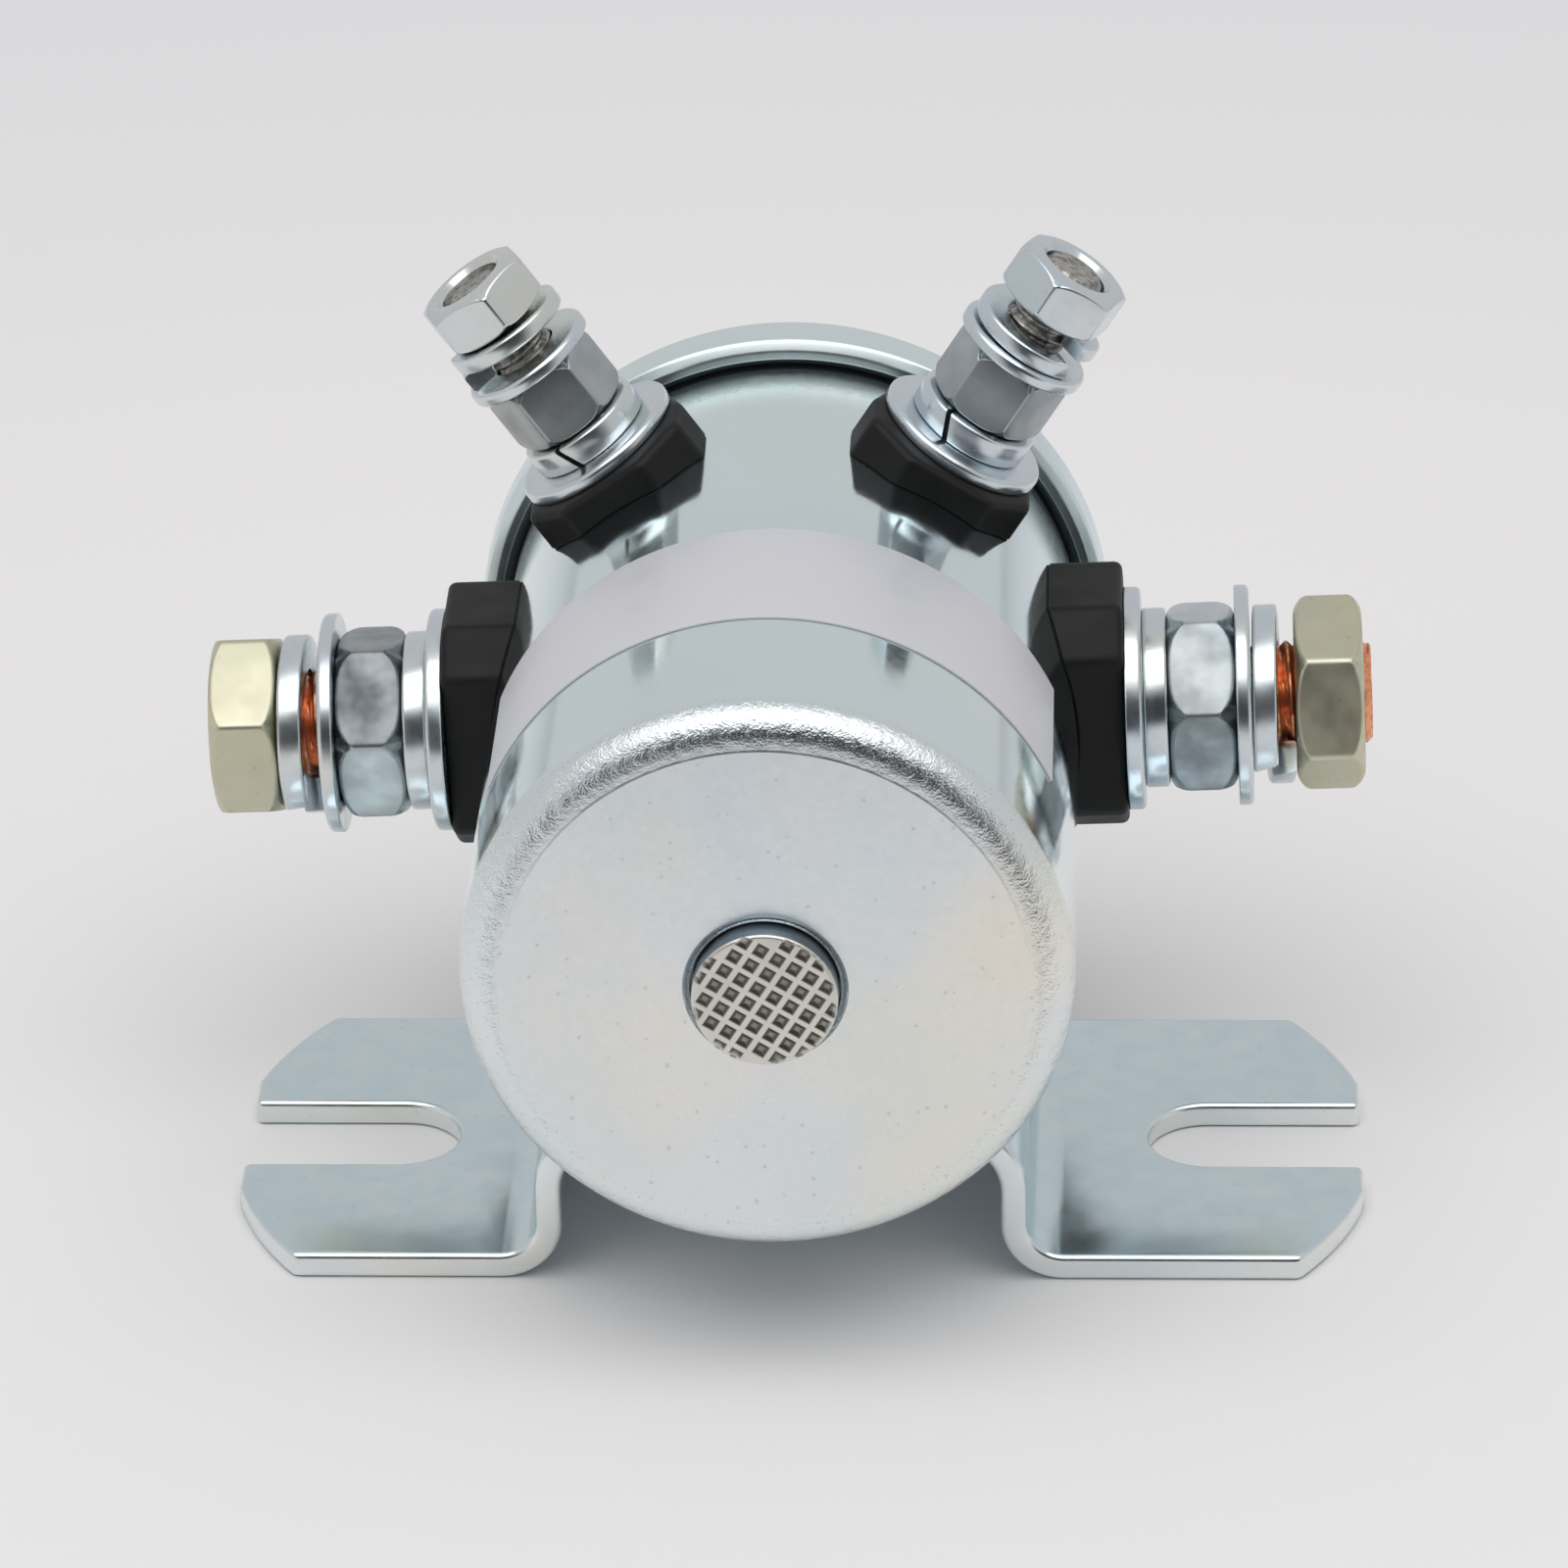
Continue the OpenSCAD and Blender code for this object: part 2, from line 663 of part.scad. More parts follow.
// Plan of both feet, with their cut-back corners
module bracket_plan() {
    difference() {
        translate([-foot_reach, -foot_depth / 2]) square([2 * foot_reach, foot_depth]);
        for (way = [-1, 1]) difference() {
            translate([way > 0 ? side_reach : -foot_reach - 1, -foot_depth])
                square([tip_back + 1, 2 * foot_depth]);
            translate([way * tip_arc_x, 0]) circle(r = tip_arc_r);
            translate([way > 0 ? 0 : -foot_reach, -tip_w / 2]) square([foot_reach, tip_w]);
        }
    }
}

module bracket() {
    color(zinc) difference() {
        intersection() {
            translate([axis_x, foot_depth / 2, 0]) rotate([90, 0, 0]) linear_extrude(height = foot_depth)
                bracket_side_view(foot_reach + axis_x + 1, foot_reach - axis_x + 1);
            translate([0, 0, -1]) linear_extrude(height = axis_h) bracket_plan();
        }
        translate([0, 0, -1]) for (way = [-1, 1]) {
            translate([way * slot_round_x, 0, 0]) cylinder(r = slot_w / 2, h = plate_t + 2);
            translate([way > 0 ? slot_round_x : -foot_reach - 2, -slot_w / 2, 0])
                cube([foot_reach + 2 - slot_round_x, slot_w, plate_t + 2]);
        }
    }
}

// Fixed core: its riveted end carries rows of struck pits
module pit() {
    half = pit_w / 2;
    wedge = [[-half, 0.01], [half, 0.01], [0, -pit_depth]];
    intersection() {
        rotate([90, 0, 0]) linear_extrude(height = pit_w, center = true) polygon(wedge);
        rotate([90, 0, 90]) linear_extrude(height = pit_w, center = true) polygon(wedge);
    }
}

module pit_pattern() {
    reach = ceil(rivet_r / pit_pitch);
    rotate([0, 0, pit_turn]) for (i = [-reach : reach], j = [-reach : reach]) {
        place = pit_pitch * [i + 0.5, j + 0.5];
        if (norm(place) < rivet_r - rivet_bevel) translate(place) pit();
    }
}

module fixed_core() {
    color(steel) along_can(0) difference() {
        union() {
            translate([0, 0, wall_y]) cylinder(r = core_r, h = core_len);
            translate([0, 0, rivet_y]) cylinder(r1 = rivet_r - rivet_bevel, r2 = rivet_r, h = rivet_bevel);
            cylinder_from(rivet_y + rivet_bevel, wall_y, rivet_r);
        }
        translate([0, 0, core_end - pocket_depth]) cylinder(r = pocket_r, h = pocket_depth + 1);
        translate([0, 0, rivet_y]) rotate([180, 0, 0]) pit_pattern();
    }
}

// Coil
module lead_notch() {
    for (side = [LEFT, RIGHT]) on_stud(control_angles[side], 0)
        translate([-notch_w / 2, -can_front, lead_place - lead_r - lead_room])
            cube([notch_w, 2 * can_front, can_d]);
}

module bobbin() {
    color(nylon) difference() {
        along_can(0) difference() {
            union() {
                translate([0, 0, coil_start]) cylinder(r = spool_r, h = flange_t);
                translate([0, 0, coil_start]) cylinder(r = tube_r, h = coil_end - coil_start);
                translate([0, 0, coil_end - flange_t]) cylinder(r = spool_r, h = flange_t);
            }
            translate([0, 0, coil_start - 1]) cylinder(r = bore_r, h = coil_end - coil_start + 2);
        }
        intersection() {
            lead_notch();
            along_can(coil_end - flange_t - slip_gap) cylinder(r = can_r, h = 2 * flange_t);
        }
    }
}

module coil_winding() {
    length = coil_end - coil_start - 2 * flange_t - 2 * thread_gap;
    color(enamel) along_can(coil_start + flange_t + thread_gap)
        tube(winding_r, tube_r + thread_gap, length);
}

module coil_wrap() {
    length = coil_end - coil_start - 2 * flange_t - 2 * thread_gap;
    color(tape) along_can(coil_start + flange_t + thread_gap)
        tube(winding_r + seat_gap + wrap_t, winding_r + seat_gap, length);
}

module flux_plate() {
    color(steel) difference() {
        along_can(flux_front) tube(can_in_r - thread_gap, bore_r, flux_t);
        lead_notch();
    }
}

module coil_lead(side) {
    start = coil_end - flange_t - thread_gap;
    finish = control_y - control_head_r - thread_gap;
    color(black) on_stud(control_angles[side], start)
        translate([0, 0, lead_place]) rotate([-90, 0, 0]) cylinder(r = lead_r, h = finish - start, $fn = 48);
}

// Main terminals
module main_stud(side) {
    color(copper) main_place(side) {
        threaded_end(contact_out, main_stud_ends[side], main_stud_r, main_tip);
        translate([-contact_w / 2, -contact_t / 2, contact_in]) cube([contact_w, contact_t, contact_len]);
    }
}

module cylinder_from(z0, z1, radius) {
    translate([0, 0, z0]) cylinder(r = radius, h = z1 - z0);
}

// The outer part of a stud, with its bevelled tip
module threaded_end(z0, z1, radius, tip) {
    cylinder_from(z0, z1 - tip, radius);
    translate([0, 0, z1 - tip]) cylinder(r1 = radius, r2 = radius - tip, h = tip);
}

module main_insulator(side) {
    outline = cut_corner(main_block_w, main_block_len, main_cut_w, main_cut_len, main_cut_len);
    color(black) main_place(side)
        insulator(outline, [0, main_block_set], main_face_r, main_stud_r, main_hole_r, can_r + collar_up);
}

module main_bush(side) {
    color(fibre) main_place(side)
        inner_bush(contact_w + 2 * main_pad_rim, contact_t + 2 * main_pad_end, contact_out,
            main_stud_r, main_hole_r, can_r + collar_up);
}

module main_seat_washer(side) {
    color(zinc) main_place(side) translate([0, 0, main_seat_z])
        flat_washer(main_seat_d, main_seat_t, main_stud_r + slip_gap);
}

module main_clamp_spring_washer(side) {
    color(zinc) main_place(side) translate([0, 0, main_clamp_lock_z])
        pressed_spring_washer(main_lock_d, main_lock_t, main_stud_r + slip_gap, main_split_angles[side]);
}

module main_clamp_nut(side) {
    color(zinc) main_place(side) translate([0, 0, main_clamp_z])
        nut(main_flats, main_nut_t, main_stud_r + thread_gap, clamp_turns[side]);
}

module main_lug_washer(side) {
    color(zinc) main_place(side) translate([0, 0, main_lug_z])
        flat_washer(main_lug_d, main_lug_t, main_stud_r + slip_gap);
}

module main_spring_washer(side) {
    color(zinc) main_place(side)
        in_lug_room(main_lock_z, main_lug_room, main_lock_turns[side], lock_on_nut[side])
            open_spring_washer(main_lock_d, main_lock_t, main_stud_r + slip_gap, main_lock_rise);
}

module main_terminal_nut(side) {
    color(olive_zinc) main_place(side) translate([0, 0, main_nut_z])
        nut(main_flats, main_nut_t, main_stud_r + thread_gap, terminal_turns[side]);
}

// Control terminals
module control_stud(side) {
    color(zinc) control_place(side) {
        threaded_end(control_head_out, control_stud_ends[side], control_stud_r, control_tip);
        cylinder_from(control_head_in, control_head_out, control_head_r);
    }
}

module control_insulator(side) {
    outline = cut_corner(
        control_block_w, control_block_len, control_cut_w, control_cut_len, control_rear_cut_len);
    to_top = side == LEFT ? control_block_set : -control_block_set;
    color(black) control_place(side)
        insulator(outline, [to_top, 0], control_face_r, control_stud_r, control_hole_r, can_r + collar_up);
}

module control_bush(side) {
    color(fibre) control_place(side)
        inner_bush(2 * (control_head_r + control_pad_rim), 2 * (control_head_r + control_pad_end),
            control_head_out, control_stud_r, control_hole_r, can_r + collar_up);
}

module control_seat_washer(side) {
    color(zinc) control_place(side) translate([0, 0, control_face_r])
        flat_washer(control_seat_d, control_seat_t, control_stud_r + slip_gap);
}

module control_clamp_spring_washer(side) {
    color(zinc) control_place(side) translate([0, 0, control_clamp_lock_z])
        pressed_spring_washer(
            control_lock_d, control_clamp_lock_t, control_stud_r + slip_gap, control_split_angles[side]);
}

module control_clamp_nut(side) {
    color(zinc) control_place(side) translate([0, 0, control_clamp_z])
        nut(control_flats, control_clamp_t, control_stud_r + thread_gap, control_clamp_turns[side]);
}

module control_lug_washer(side) {
    color(zinc) control_place(side) translate([0, 0, control_lug_z])
        flat_washer(control_lug_d, control_lug_t, control_stud_r + slip_gap);
}

module control_spring_washer(side) {
    color(zinc) control_place(side)
        in_lug_room(control_lock_z, control_lug_room, control_lock_turns[side], lock_on_nut[side])
            open_spring_washer(
                control_lock_d, control_lock_t, control_stud_r + slip_gap, control_lock_rise);
}

module control_terminal_nut(side) {
    color(zinc) control_place(side) translate([0, 0, control_nut_z])
        nut(control_flats, control_nut_t, control_stud_r + thread_gap, control_turns[side]);
}

// Plunger and moving contact
module plunger() {
    color(steel) along_can(0) difference() {
        translate([0, 0, plunger_front]) cylinder(r = core_r, h = plunger_len);
        translate([0, 0, plunger_front - 1]) cylinder(r = pocket_r, h = pocket_depth + 1);
        translate([0, 0, rod_front]) cylinder(r = rod_r + seat_gap, h = plunger_len);
    }
}

module contact_rod() {
    color(steel) along_can(0) difference() {
        union() {
            translate([0, 0, rod_front]) cylinder(r = rod_r, h = rod_shoulder - rod_front);
            translate([0, 0, rod_shoulder]) cylinder(r = rod_tip_r, h = rod_back - rod_shoulder);
        }
        translate([0, 0, clip_groove_y]) tube(rod_r, clip_groove_r, clip_t);
    }
}

module return_spring() {
    start = core_end - pocket_depth + seat_gap;
    finish = plunger_front + pocket_depth - seat_gap;
    color(steel) along_can(start) coil_spring(return_mid_r, return_wire_r, finish - start, 6);
}

module contact_disc() {
    color(copper) along_can(disc_y) tube(disc_d / 2, bush_neck_r + seat_gap, disc_t);
}

module disc_bush_front() {
    color(fibre) along_can(rod_shoulder) difference() {
        union() {
            cylinder(r = bush_r, h = bush_t);
            cylinder(r = bush_neck_r, h = bush_t + disc_t);
        }
        translate([0, 0, -1]) cylinder(r = rod_tip_r + run_gap, h = bush_t + disc_t + 2);
    }
}

module disc_bush_rear() {
    color(fibre) along_can(disc_back) tube(bush_r, rod_tip_r + run_gap, bush_t);
}

module contact_spring() {
    color(steel) along_can(spring_y + seat_gap)
        coil_spring(contact_mid_r, contact_wire_r, contact_spring_len - 2 * seat_gap, 2.5);
}

module spring_seat() {
    color(steel) along_can(spring_seat_y) tube(bush_r, rod_tip_r + thread_gap, spring_seat_t);
}

module retaining_clip() {
    color(steel) along_can(clip_groove_y + thread_gap / 2) difference() {
        tube(rod_tip_r + clip_rim, clip_groove_r + thread_gap, clip_t - thread_gap);
        translate([-clip_groove_r, 0, -1]) cube([2 * clip_groove_r, rod_d, clip_t + 2]);
    }
}

can();
end_cap();
cap_gasket();
end_liner();
bracket();
label();
fixed_core();
bobbin();
coil_winding();
coil_wrap();
flux_plate();
plunger();
contact_rod();
return_spring();
contact_disc();
disc_bush_front();
disc_bush_rear();
contact_spring();
spring_seat();
retaining_clip();
for (side = [LEFT, RIGHT]) {
    end = str("_", SIDES[side]);
    coil_lead(side);
    main_stud(side);
    main_insulator(side);
    main_bush(side);
    main_seat_washer(side);
    main_clamp_spring_washer(side);
    main_clamp_nut(side);
    main_lug_washer(side);
    main_spring_washer(side);
    main_terminal_nut(side);
    control_stud(side);
    control_insulator(side);
    control_bush(side);
    control_seat_washer(side);
    control_clamp_spring_washer(side);
    control_clamp_nut(side);
    control_lug_washer(side);
    control_spring_washer(side);
    control_terminal_nut(side);
}
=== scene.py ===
"""Looks of a four-terminal direct-current contactor: a steel can on a folded bracket."""

from __future__ import annotations

import json
import logging
import math
from collections.abc import Sequence
from dataclasses import dataclass, field
from enum import Enum

import bmesh
import bpy
import numpy as np
from mathutils import Matrix, Vector

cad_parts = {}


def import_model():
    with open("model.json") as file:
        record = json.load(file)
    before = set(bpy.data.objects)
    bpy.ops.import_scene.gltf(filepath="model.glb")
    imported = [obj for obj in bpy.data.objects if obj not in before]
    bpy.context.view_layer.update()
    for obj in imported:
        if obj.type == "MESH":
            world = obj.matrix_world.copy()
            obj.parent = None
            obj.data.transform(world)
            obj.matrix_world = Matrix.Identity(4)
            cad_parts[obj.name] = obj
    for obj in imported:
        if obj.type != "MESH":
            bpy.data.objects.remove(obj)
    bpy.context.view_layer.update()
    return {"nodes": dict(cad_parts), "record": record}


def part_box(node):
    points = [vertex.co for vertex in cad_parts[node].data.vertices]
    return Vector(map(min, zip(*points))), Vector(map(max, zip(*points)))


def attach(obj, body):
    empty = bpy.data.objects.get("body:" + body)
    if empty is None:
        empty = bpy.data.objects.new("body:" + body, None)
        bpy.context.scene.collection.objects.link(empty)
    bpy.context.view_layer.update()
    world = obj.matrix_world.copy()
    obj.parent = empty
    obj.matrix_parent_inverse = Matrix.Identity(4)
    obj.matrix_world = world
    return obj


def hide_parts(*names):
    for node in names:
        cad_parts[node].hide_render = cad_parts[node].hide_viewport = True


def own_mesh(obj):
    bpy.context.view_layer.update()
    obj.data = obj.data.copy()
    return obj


LOG = logging.getLogger("contactor")
MM = 0.001
SHARP_DEG = 32.0
HOUSING = "housing"
# Name of the point attribute that carries painted shade: it darkens hollows, gaps and chosen nut facets, and
# the bracket's faces beside cut edges left bright as a painted highlight.
PAINTED_SHADE = "painted_shade"
GEOMETRY = "NodeSocketGeometry"
MATERIAL = "NodeSocketMaterial"

Tree = bpy.types.NodeTree
Material = bpy.types.Material
Piece = bpy.types.Object
Point = tuple[float, float, float]
Profile = list[tuple[float, float]]
Shape = tuple[np.ndarray, list[tuple[int, ...]]]


class Side(Enum):
    """The two sides of the can, as the front shows them."""

    LEFT = "left"
    RIGHT = "right"


def colour(code: str) -> tuple[float, float, float, float]:
    """Turns a screen colour into the linear colour that shaders take.

    Args:
        code: six hexadecimal digits.

    Returns:
        The linear red, green and blue, with a full alpha.
    """
    parts = [int(code[i : i + 2], 16) / 255 for i in (0, 2, 4)]
    red, green, blue = (p / 12.92 if p <= 0.04045 else ((p + 0.055) / 1.055) ** 2.4 for p in parts)
    return (red, green, blue, 1.0)


# Node trees


class Value:
    """A node's output, on which arithmetic adds math nodes."""

    def __init__(self, graph: Graph, socket: bpy.types.NodeSocket) -> None:
        """Holds the output and its graph."""
        self.graph, self.socket = graph, socket

    def __add__(self, other: Value | float) -> Value:
        """Adds a sum."""
        return self.graph.math("ADD", self, other)

    def __sub__(self, other: Value | float) -> Value:
        """Adds a difference."""
        return self.graph.math("SUBTRACT", self, other)

    def __rsub__(self, other: float) -> Value:
        """Adds a number less this value."""
        return self.graph.math("SUBTRACT", other, self)

    def __mul__(self, other: Value | float) -> Value:
        """Adds a product."""
        return self.graph.math("MULTIPLY", self, other)

    def __truediv__(self, other: Value | float) -> Value:
        """Adds a quotient."""
        return self.graph.math("DIVIDE", self, other)


class Graph:
    """Adds nodes to one tree and links them as they are made."""

    def __init__(self, tree: Tree) -> None:
        """Starts on an existing tree."""
        self.tree = tree

    def node(self, kind: str, inputs: dict | None = None, **settings: object) -> bpy.types.Node:
        """Adds a node.

        Args:
            kind: the node's type name.
            inputs: values or outputs for its inputs, by name or by number.
            settings: the node's own properties.

        Returns:
            The new node.
        """
        made = self.tree.nodes.new(kind)
        row, column = divmod(len(self.tree.nodes), 12)
        made.location = (180 * column, -160 * row)
        for name, value in settings.items():
            setattr(made, name, value)
        for key, value in (inputs or {}).items():
            self.feed(made.inputs[key], value)
        return made

    def feed(self, socket: bpy.types.NodeSocket, value: object) -> None:
        """Sets an input to a number or a colour, or links an output to it.

        Args:
            socket: the input.
            value: the number, the colour or the output.
        """
        if isinstance(value, Value):
            self.tree.links.new(value.socket, socket)
        else:
            socket.default_value = value

    def out(self, kind: str, output: str | int, inputs: dict | None = None, **settings: object) -> Value:
        """Adds a node and gives one of its outputs."""
        return Value(self, self.node(kind, inputs, **settings).outputs[output])

    def math(self, operation: str, *values: Value | float) -> Value:
        """Adds a math node."""
        return self.out("ShaderNodeMath", 0, dict(enumerate(values)), operation=operation)

    def vector(self, operation: str, *values: object, output: str | int = 0) -> Value:
        """Adds a vector math node."""
        return self.out("ShaderNodeVectorMath", output, dict(enumerate(values)), operation=operation)

    def blend(self, factor: Value | float, first: object, second: object) -> Value:
        """Mixes two colours, the second by the factor."""
        return self.out("ShaderNodeMix", 2, {0: factor, 6: first, 7: second}, data_type="RGBA")

    def spread(self, value: Value, low: object, high: object, start: float = 0.0, end: float = 1.0) -> Value:
        """Maps the stretch from low to high to that from start to end, and holds it at both ends."""
        return self.out("ShaderNodeMapRange", 0, {0: value, 1: low, 2: high, 3: start, 4: end})

    def noise(self, where: Value, scale: Value | float, detail: float) -> Value:
        """Adds a noise texture."""
        return self.out("ShaderNodeTexNoise", 0, {"Vector": where, "Scale": scale, "Detail": detail})

    def where(self) -> Value:
        """Gives the place on the object."""
        return self.out("ShaderNodeTexCoord", "Object")

    def split(self, vector: Value) -> list[Value]:
        """Gives the three parts of a vector."""
        return [Value(self, part) for part in self.node("ShaderNodeSeparateXYZ", {0: vector}).outputs]

    def join(self, x: Value | float, y: Value | float, z: Value | float) -> Value:
        """Makes a vector of three parts."""
        return self.out("ShaderNodeCombineXYZ", 0, {0: x, 1: y, 2: z})


class Group(Graph):
    """A node group with named inputs and outputs."""

    def __init__(self, name: str, inputs: dict, outputs: dict, kind: str = "ShaderNodeTree") -> None:
        """Makes the tree and its sockets.

        Args:
            name: the group's name.
            inputs: each input's default, or its socket type, by name.
            outputs: the same of the outputs.
            kind: the type of tree.
        """
        super().__init__(bpy.data.node_groups.new(name, kind))
        types = {int: "NodeSocketInt", float: "NodeSocketFloat", 3: "NodeSocketVector", 4: "NodeSocketColor"}
        for way, sockets in (("INPUT", inputs), ("OUTPUT", outputs)):
            for label, default in sockets.items():
                key = len(default) if isinstance(default, tuple) else type(default)
                socket = types.get(key, default)
                item = self.tree.interface.new_socket(label, in_out=way, socket_type=socket)
                if key in types and way == "INPUT":
                    item.default_value = default
        self.source = self.node("NodeGroupInput")
        self.sink = self.node("NodeGroupOutput")

    def __getitem__(self, label: str) -> Value:
        """Gives one of the group's inputs."""
        return Value(self, self.source.outputs[label])

    def give(self, **results: Value) -> Tree:
        """Links the group's outputs.

        Args:
            results: each output's value, by name.

        Returns:
            The finished tree.
        """
        for label, value in results.items():
            self.feed(self.sink.inputs[label], value)
        return self.tree


class SurfaceEffects:
    """The shader groups that several finishes share."""

    def __init__(self) -> None:
        """Builds every group once."""
        self.trees = {
            "tint": self.tint(),
            "grain": self.grain(),
            "specks": self.specks(),
            "scuffs": self.scuffs(),
            "zone": self.zone(),
        }

    @staticmethod
    def tint() -> Tree:
        """Soft patches of two tints over a base colour, as passivated plating has.

        Returns:
            The group's tree.
        """
        tints = {"Base": (0.8, 0.8, 0.8, 1.0), "Cool": (0.7, 0.8, 0.9, 1.0), "Warm": (0.9, 0.8, 0.6, 1.0)}
        g = Group("plating_tint", {**tints, "Scale": 60.0, "Amount": 0.5}, {"Color": (0.8, 0.8, 0.8, 1.0)})
        where = g.where()
        shifted = g.out("ShaderNodeMapping", 0, {"Vector": where, "Location": (0.31, 0.17, 0.53)})
        cool = g.spread(g.noise(where, g["Scale"], 3.0), 0.42, 0.68) * g["Amount"]
        warm = g.spread(g.noise(shifted, g["Scale"], 4.0), 0.48, 0.72) * g["Amount"]
        return g.give(Color=g.blend(warm, g.blend(cool, g["Base"], g["Cool"]), g["Warm"]))

    @staticmethod
    def grain() -> Tree:
        """Fine unevenness of a surface, in two sizes.

        Returns:
            The group's tree.
        """
        g = Group("fine_grain", {"Scale": 900.0, "Waves": 0.5}, {"Height": 0.0, "Mask": 0.0})
        where = g.where()
        fine = g.noise(where, g["Scale"], 4.0)
        wide = g.noise(where, g["Scale"] * 0.22, 2.0)
        return g.give(Height=(fine - 0.5) + (wide - 0.5) * g["Waves"], Mask=g.spread(wide, 0.35, 0.65))

    @staticmethod
    def specks() -> Tree:
        """Scattered small specks.

        Returns:
            The group's tree.
        """
        g = Group("specks", {"Scale": 500.0, "Share": 0.1}, {"Mask": 0.0})
        cells = g.node("ShaderNodeTexVoronoi", {"Vector": g.where(), "Scale": g["Scale"], "Randomness": 1.0})
        drawn = g.out("ShaderNodeSeparateColor", 0, {"Color": Value(g, cells.outputs["Color"])})
        dot = g.spread(Value(g, cells.outputs["Distance"]), 0.12, 0.3, 1.0, 0.0)
        return g.give(Mask=g.math("LESS_THAN", drawn, g["Share"]) * dot)

    @staticmethod
    def scuffs() -> Tree:
        """Irregular worn marks.

        Returns:
            The group's tree.
        """
        g = Group("scuffs", {"Scale": 500.0, "Sharpness": 0.6}, {"Mask": 0.0})
        marks = g.noise(g.where(), g["Scale"], 5.0)
        return g.give(Mask=g.math("MAXIMUM", marks - g["Sharpness"], 0.0) * 6.0)

    @staticmethod
    def zone() -> Tree:
        """A stretch along the can, faded in and out.

        Returns:
            The group's tree.
        """
        ends = {"Start": 0.0, "End": 0.001, "Fade In": 0.0003, "Fade Out": 0.0003}
        g = Group("zone_along_can", ends, {"Mask": 0.0})
        along = g.split(g.where())[1]
        rising = g.spread(along, g["Start"], g["Start"] + g["Fade In"])
        return g.give(Mask=rising * g.spread(along, g["End"], g["End"] + g["Fade Out"], 1.0, 0.0))


# Finishes


class Coat(Graph):
    """The graph of a new material round its Principled shader."""

    def __init__(self, name: str, effects: SurfaceEffects) -> None:
        """Makes the material.

        Args:
            name: the material's name.
            effects: the shared shader groups.
        """
        self.material = bpy.data.materials.new(name)
        self.material.use_nodes = True
        super().__init__(self.material.node_tree)
        self.effects = effects
        self.shader = self.tree.nodes["Principled BSDF"]

    def wear(self, **inputs: object) -> None:
        """Feeds the shader's inputs, with _ for a space in their names."""
        for key, value in inputs.items():
            self.feed(self.shader.inputs[key.replace("_", " ")], value)

    def effect(self, name: str, inputs: dict[str, object]) -> list[Value]:
        """Places a shared group.

        Args:
            name: the group's key.
            inputs: values for its inputs.

        Returns:
            Its outputs.
        """
        made = self.node("ShaderNodeGroup", inputs, node_tree=self.effects.trees[name])
        return [Value(self, socket) for socket in made.outputs]

    def relief(self, height: Value, depth_mm: float) -> None:
        """Feeds the shader's normal with a height, whose 1 measures depth_mm."""
        bump = {"Height": height, "Distance": depth_mm * MM, "Strength": 1.0}
        self.wear(Normal=self.out("ShaderNodeBump", 0, bump))


@dataclass(frozen=True)
class Finish:
    """A surface finish; each kind says how its own shader is dressed."""

    name: str
    base: str
    roughness: float
    dull: float = 0.1
    depth_mm: float = 0.004

    def build(self, effects: SurfaceEffects) -> Material:
        """Makes the material.

        Args:
            effects: the shared shader groups.

        Returns:
            The finished material.
        """
        coat = Coat(self.name, effects)
        coat.wear(Base_Color=colour(self.base), Roughness=self.roughness)
        self.dress(coat)
        return coat.material

    def dress(self, coat: Coat) -> None:
        """Adds this finish's detail to the coat."""

    def gloss(self, coat: Coat, mask: Value) -> Value:
        """Makes the roughness rise with a mask."""
        return coat.spread(mask, 0.0, 1.0, self.roughness, self.roughness + self.dull)


@dataclass
class Layers:
    """What plating is made of: its colour with painted shade mixed in, its spots, the share of painted shade,
    its roughness and the grain's height.
    """

    shade: Value
    spots: Value
    painted_shade: Value
    rough: Value
    height: Value


@dataclass(frozen=True)
class ZincPlate(Finish):
    """Bright zinc plating with faint blue and yellow patches."""

    cool: str = "cfe0e6"
    warm: str = "e9e3c9"
    tint: float = 0.5
    tint_scale: float = 70.0
    grain_scale: float = 1800.0
    waves: float = 1.6
    stain: str = "6f7476"
    spotted: float = 0.25
    spot_scale: float = 1500.0
    spot_share: float = 0.12
    # The colour and extra roughness that painted shade brings where a piece's attribute calls for it.
    shade_tone: str = "62676a"
    shade_dull: float = 0.16

    def dress(self, coat: Coat) -> None:
        """Adds the plating's tints, grain, spots, painted shade and changing gloss.

        Args:
            coat: the material being made.
        """
        tints = {"Base": colour(self.base), "Cool": colour(self.cool), "Warm": colour(self.warm)}
        (tint,) = coat.effect("tint", {**tints, "Scale": self.tint_scale, "Amount": self.tint})
        (spots,) = coat.effect("specks", {"Scale": self.spot_scale, "Share": self.spot_share})
        height, mask = coat.effect("grain", {"Scale": self.grain_scale, "Waves": self.waves})
        # Painted shade: the attribute's share darkens the tint toward the shade colour, softened by the
        # grain.
        painted_shade = coat.out("ShaderNodeAttribute", "Fac", attribute_name=PAINTED_SHADE)
        shade = coat.blend(painted_shade * coat.spread(mask, 0.0, 1.0, 0.75, 1.0), tint, colour(self.shade_tone))
        rough = self.gloss(coat, mask) + painted_shade * self.shade_dull
        coat.wear(Metallic=1.0)
        self.join(coat, Layers(shade, spots, painted_shade, rough, height))

    def join(self, coat: Coat, layers: Layers) -> None:
        """Joins the layers to the shader, all over the surface alike.

        Args:
            coat: the material being made.
            layers: the plating's layers.
        """
        stained = coat.blend(layers.spots * self.spotted, layers.shade, colour(self.stain))
        coat.wear(Base_Color=stained, Roughness=layers.rough)
        coat.relief(layers.height, self.depth_mm)


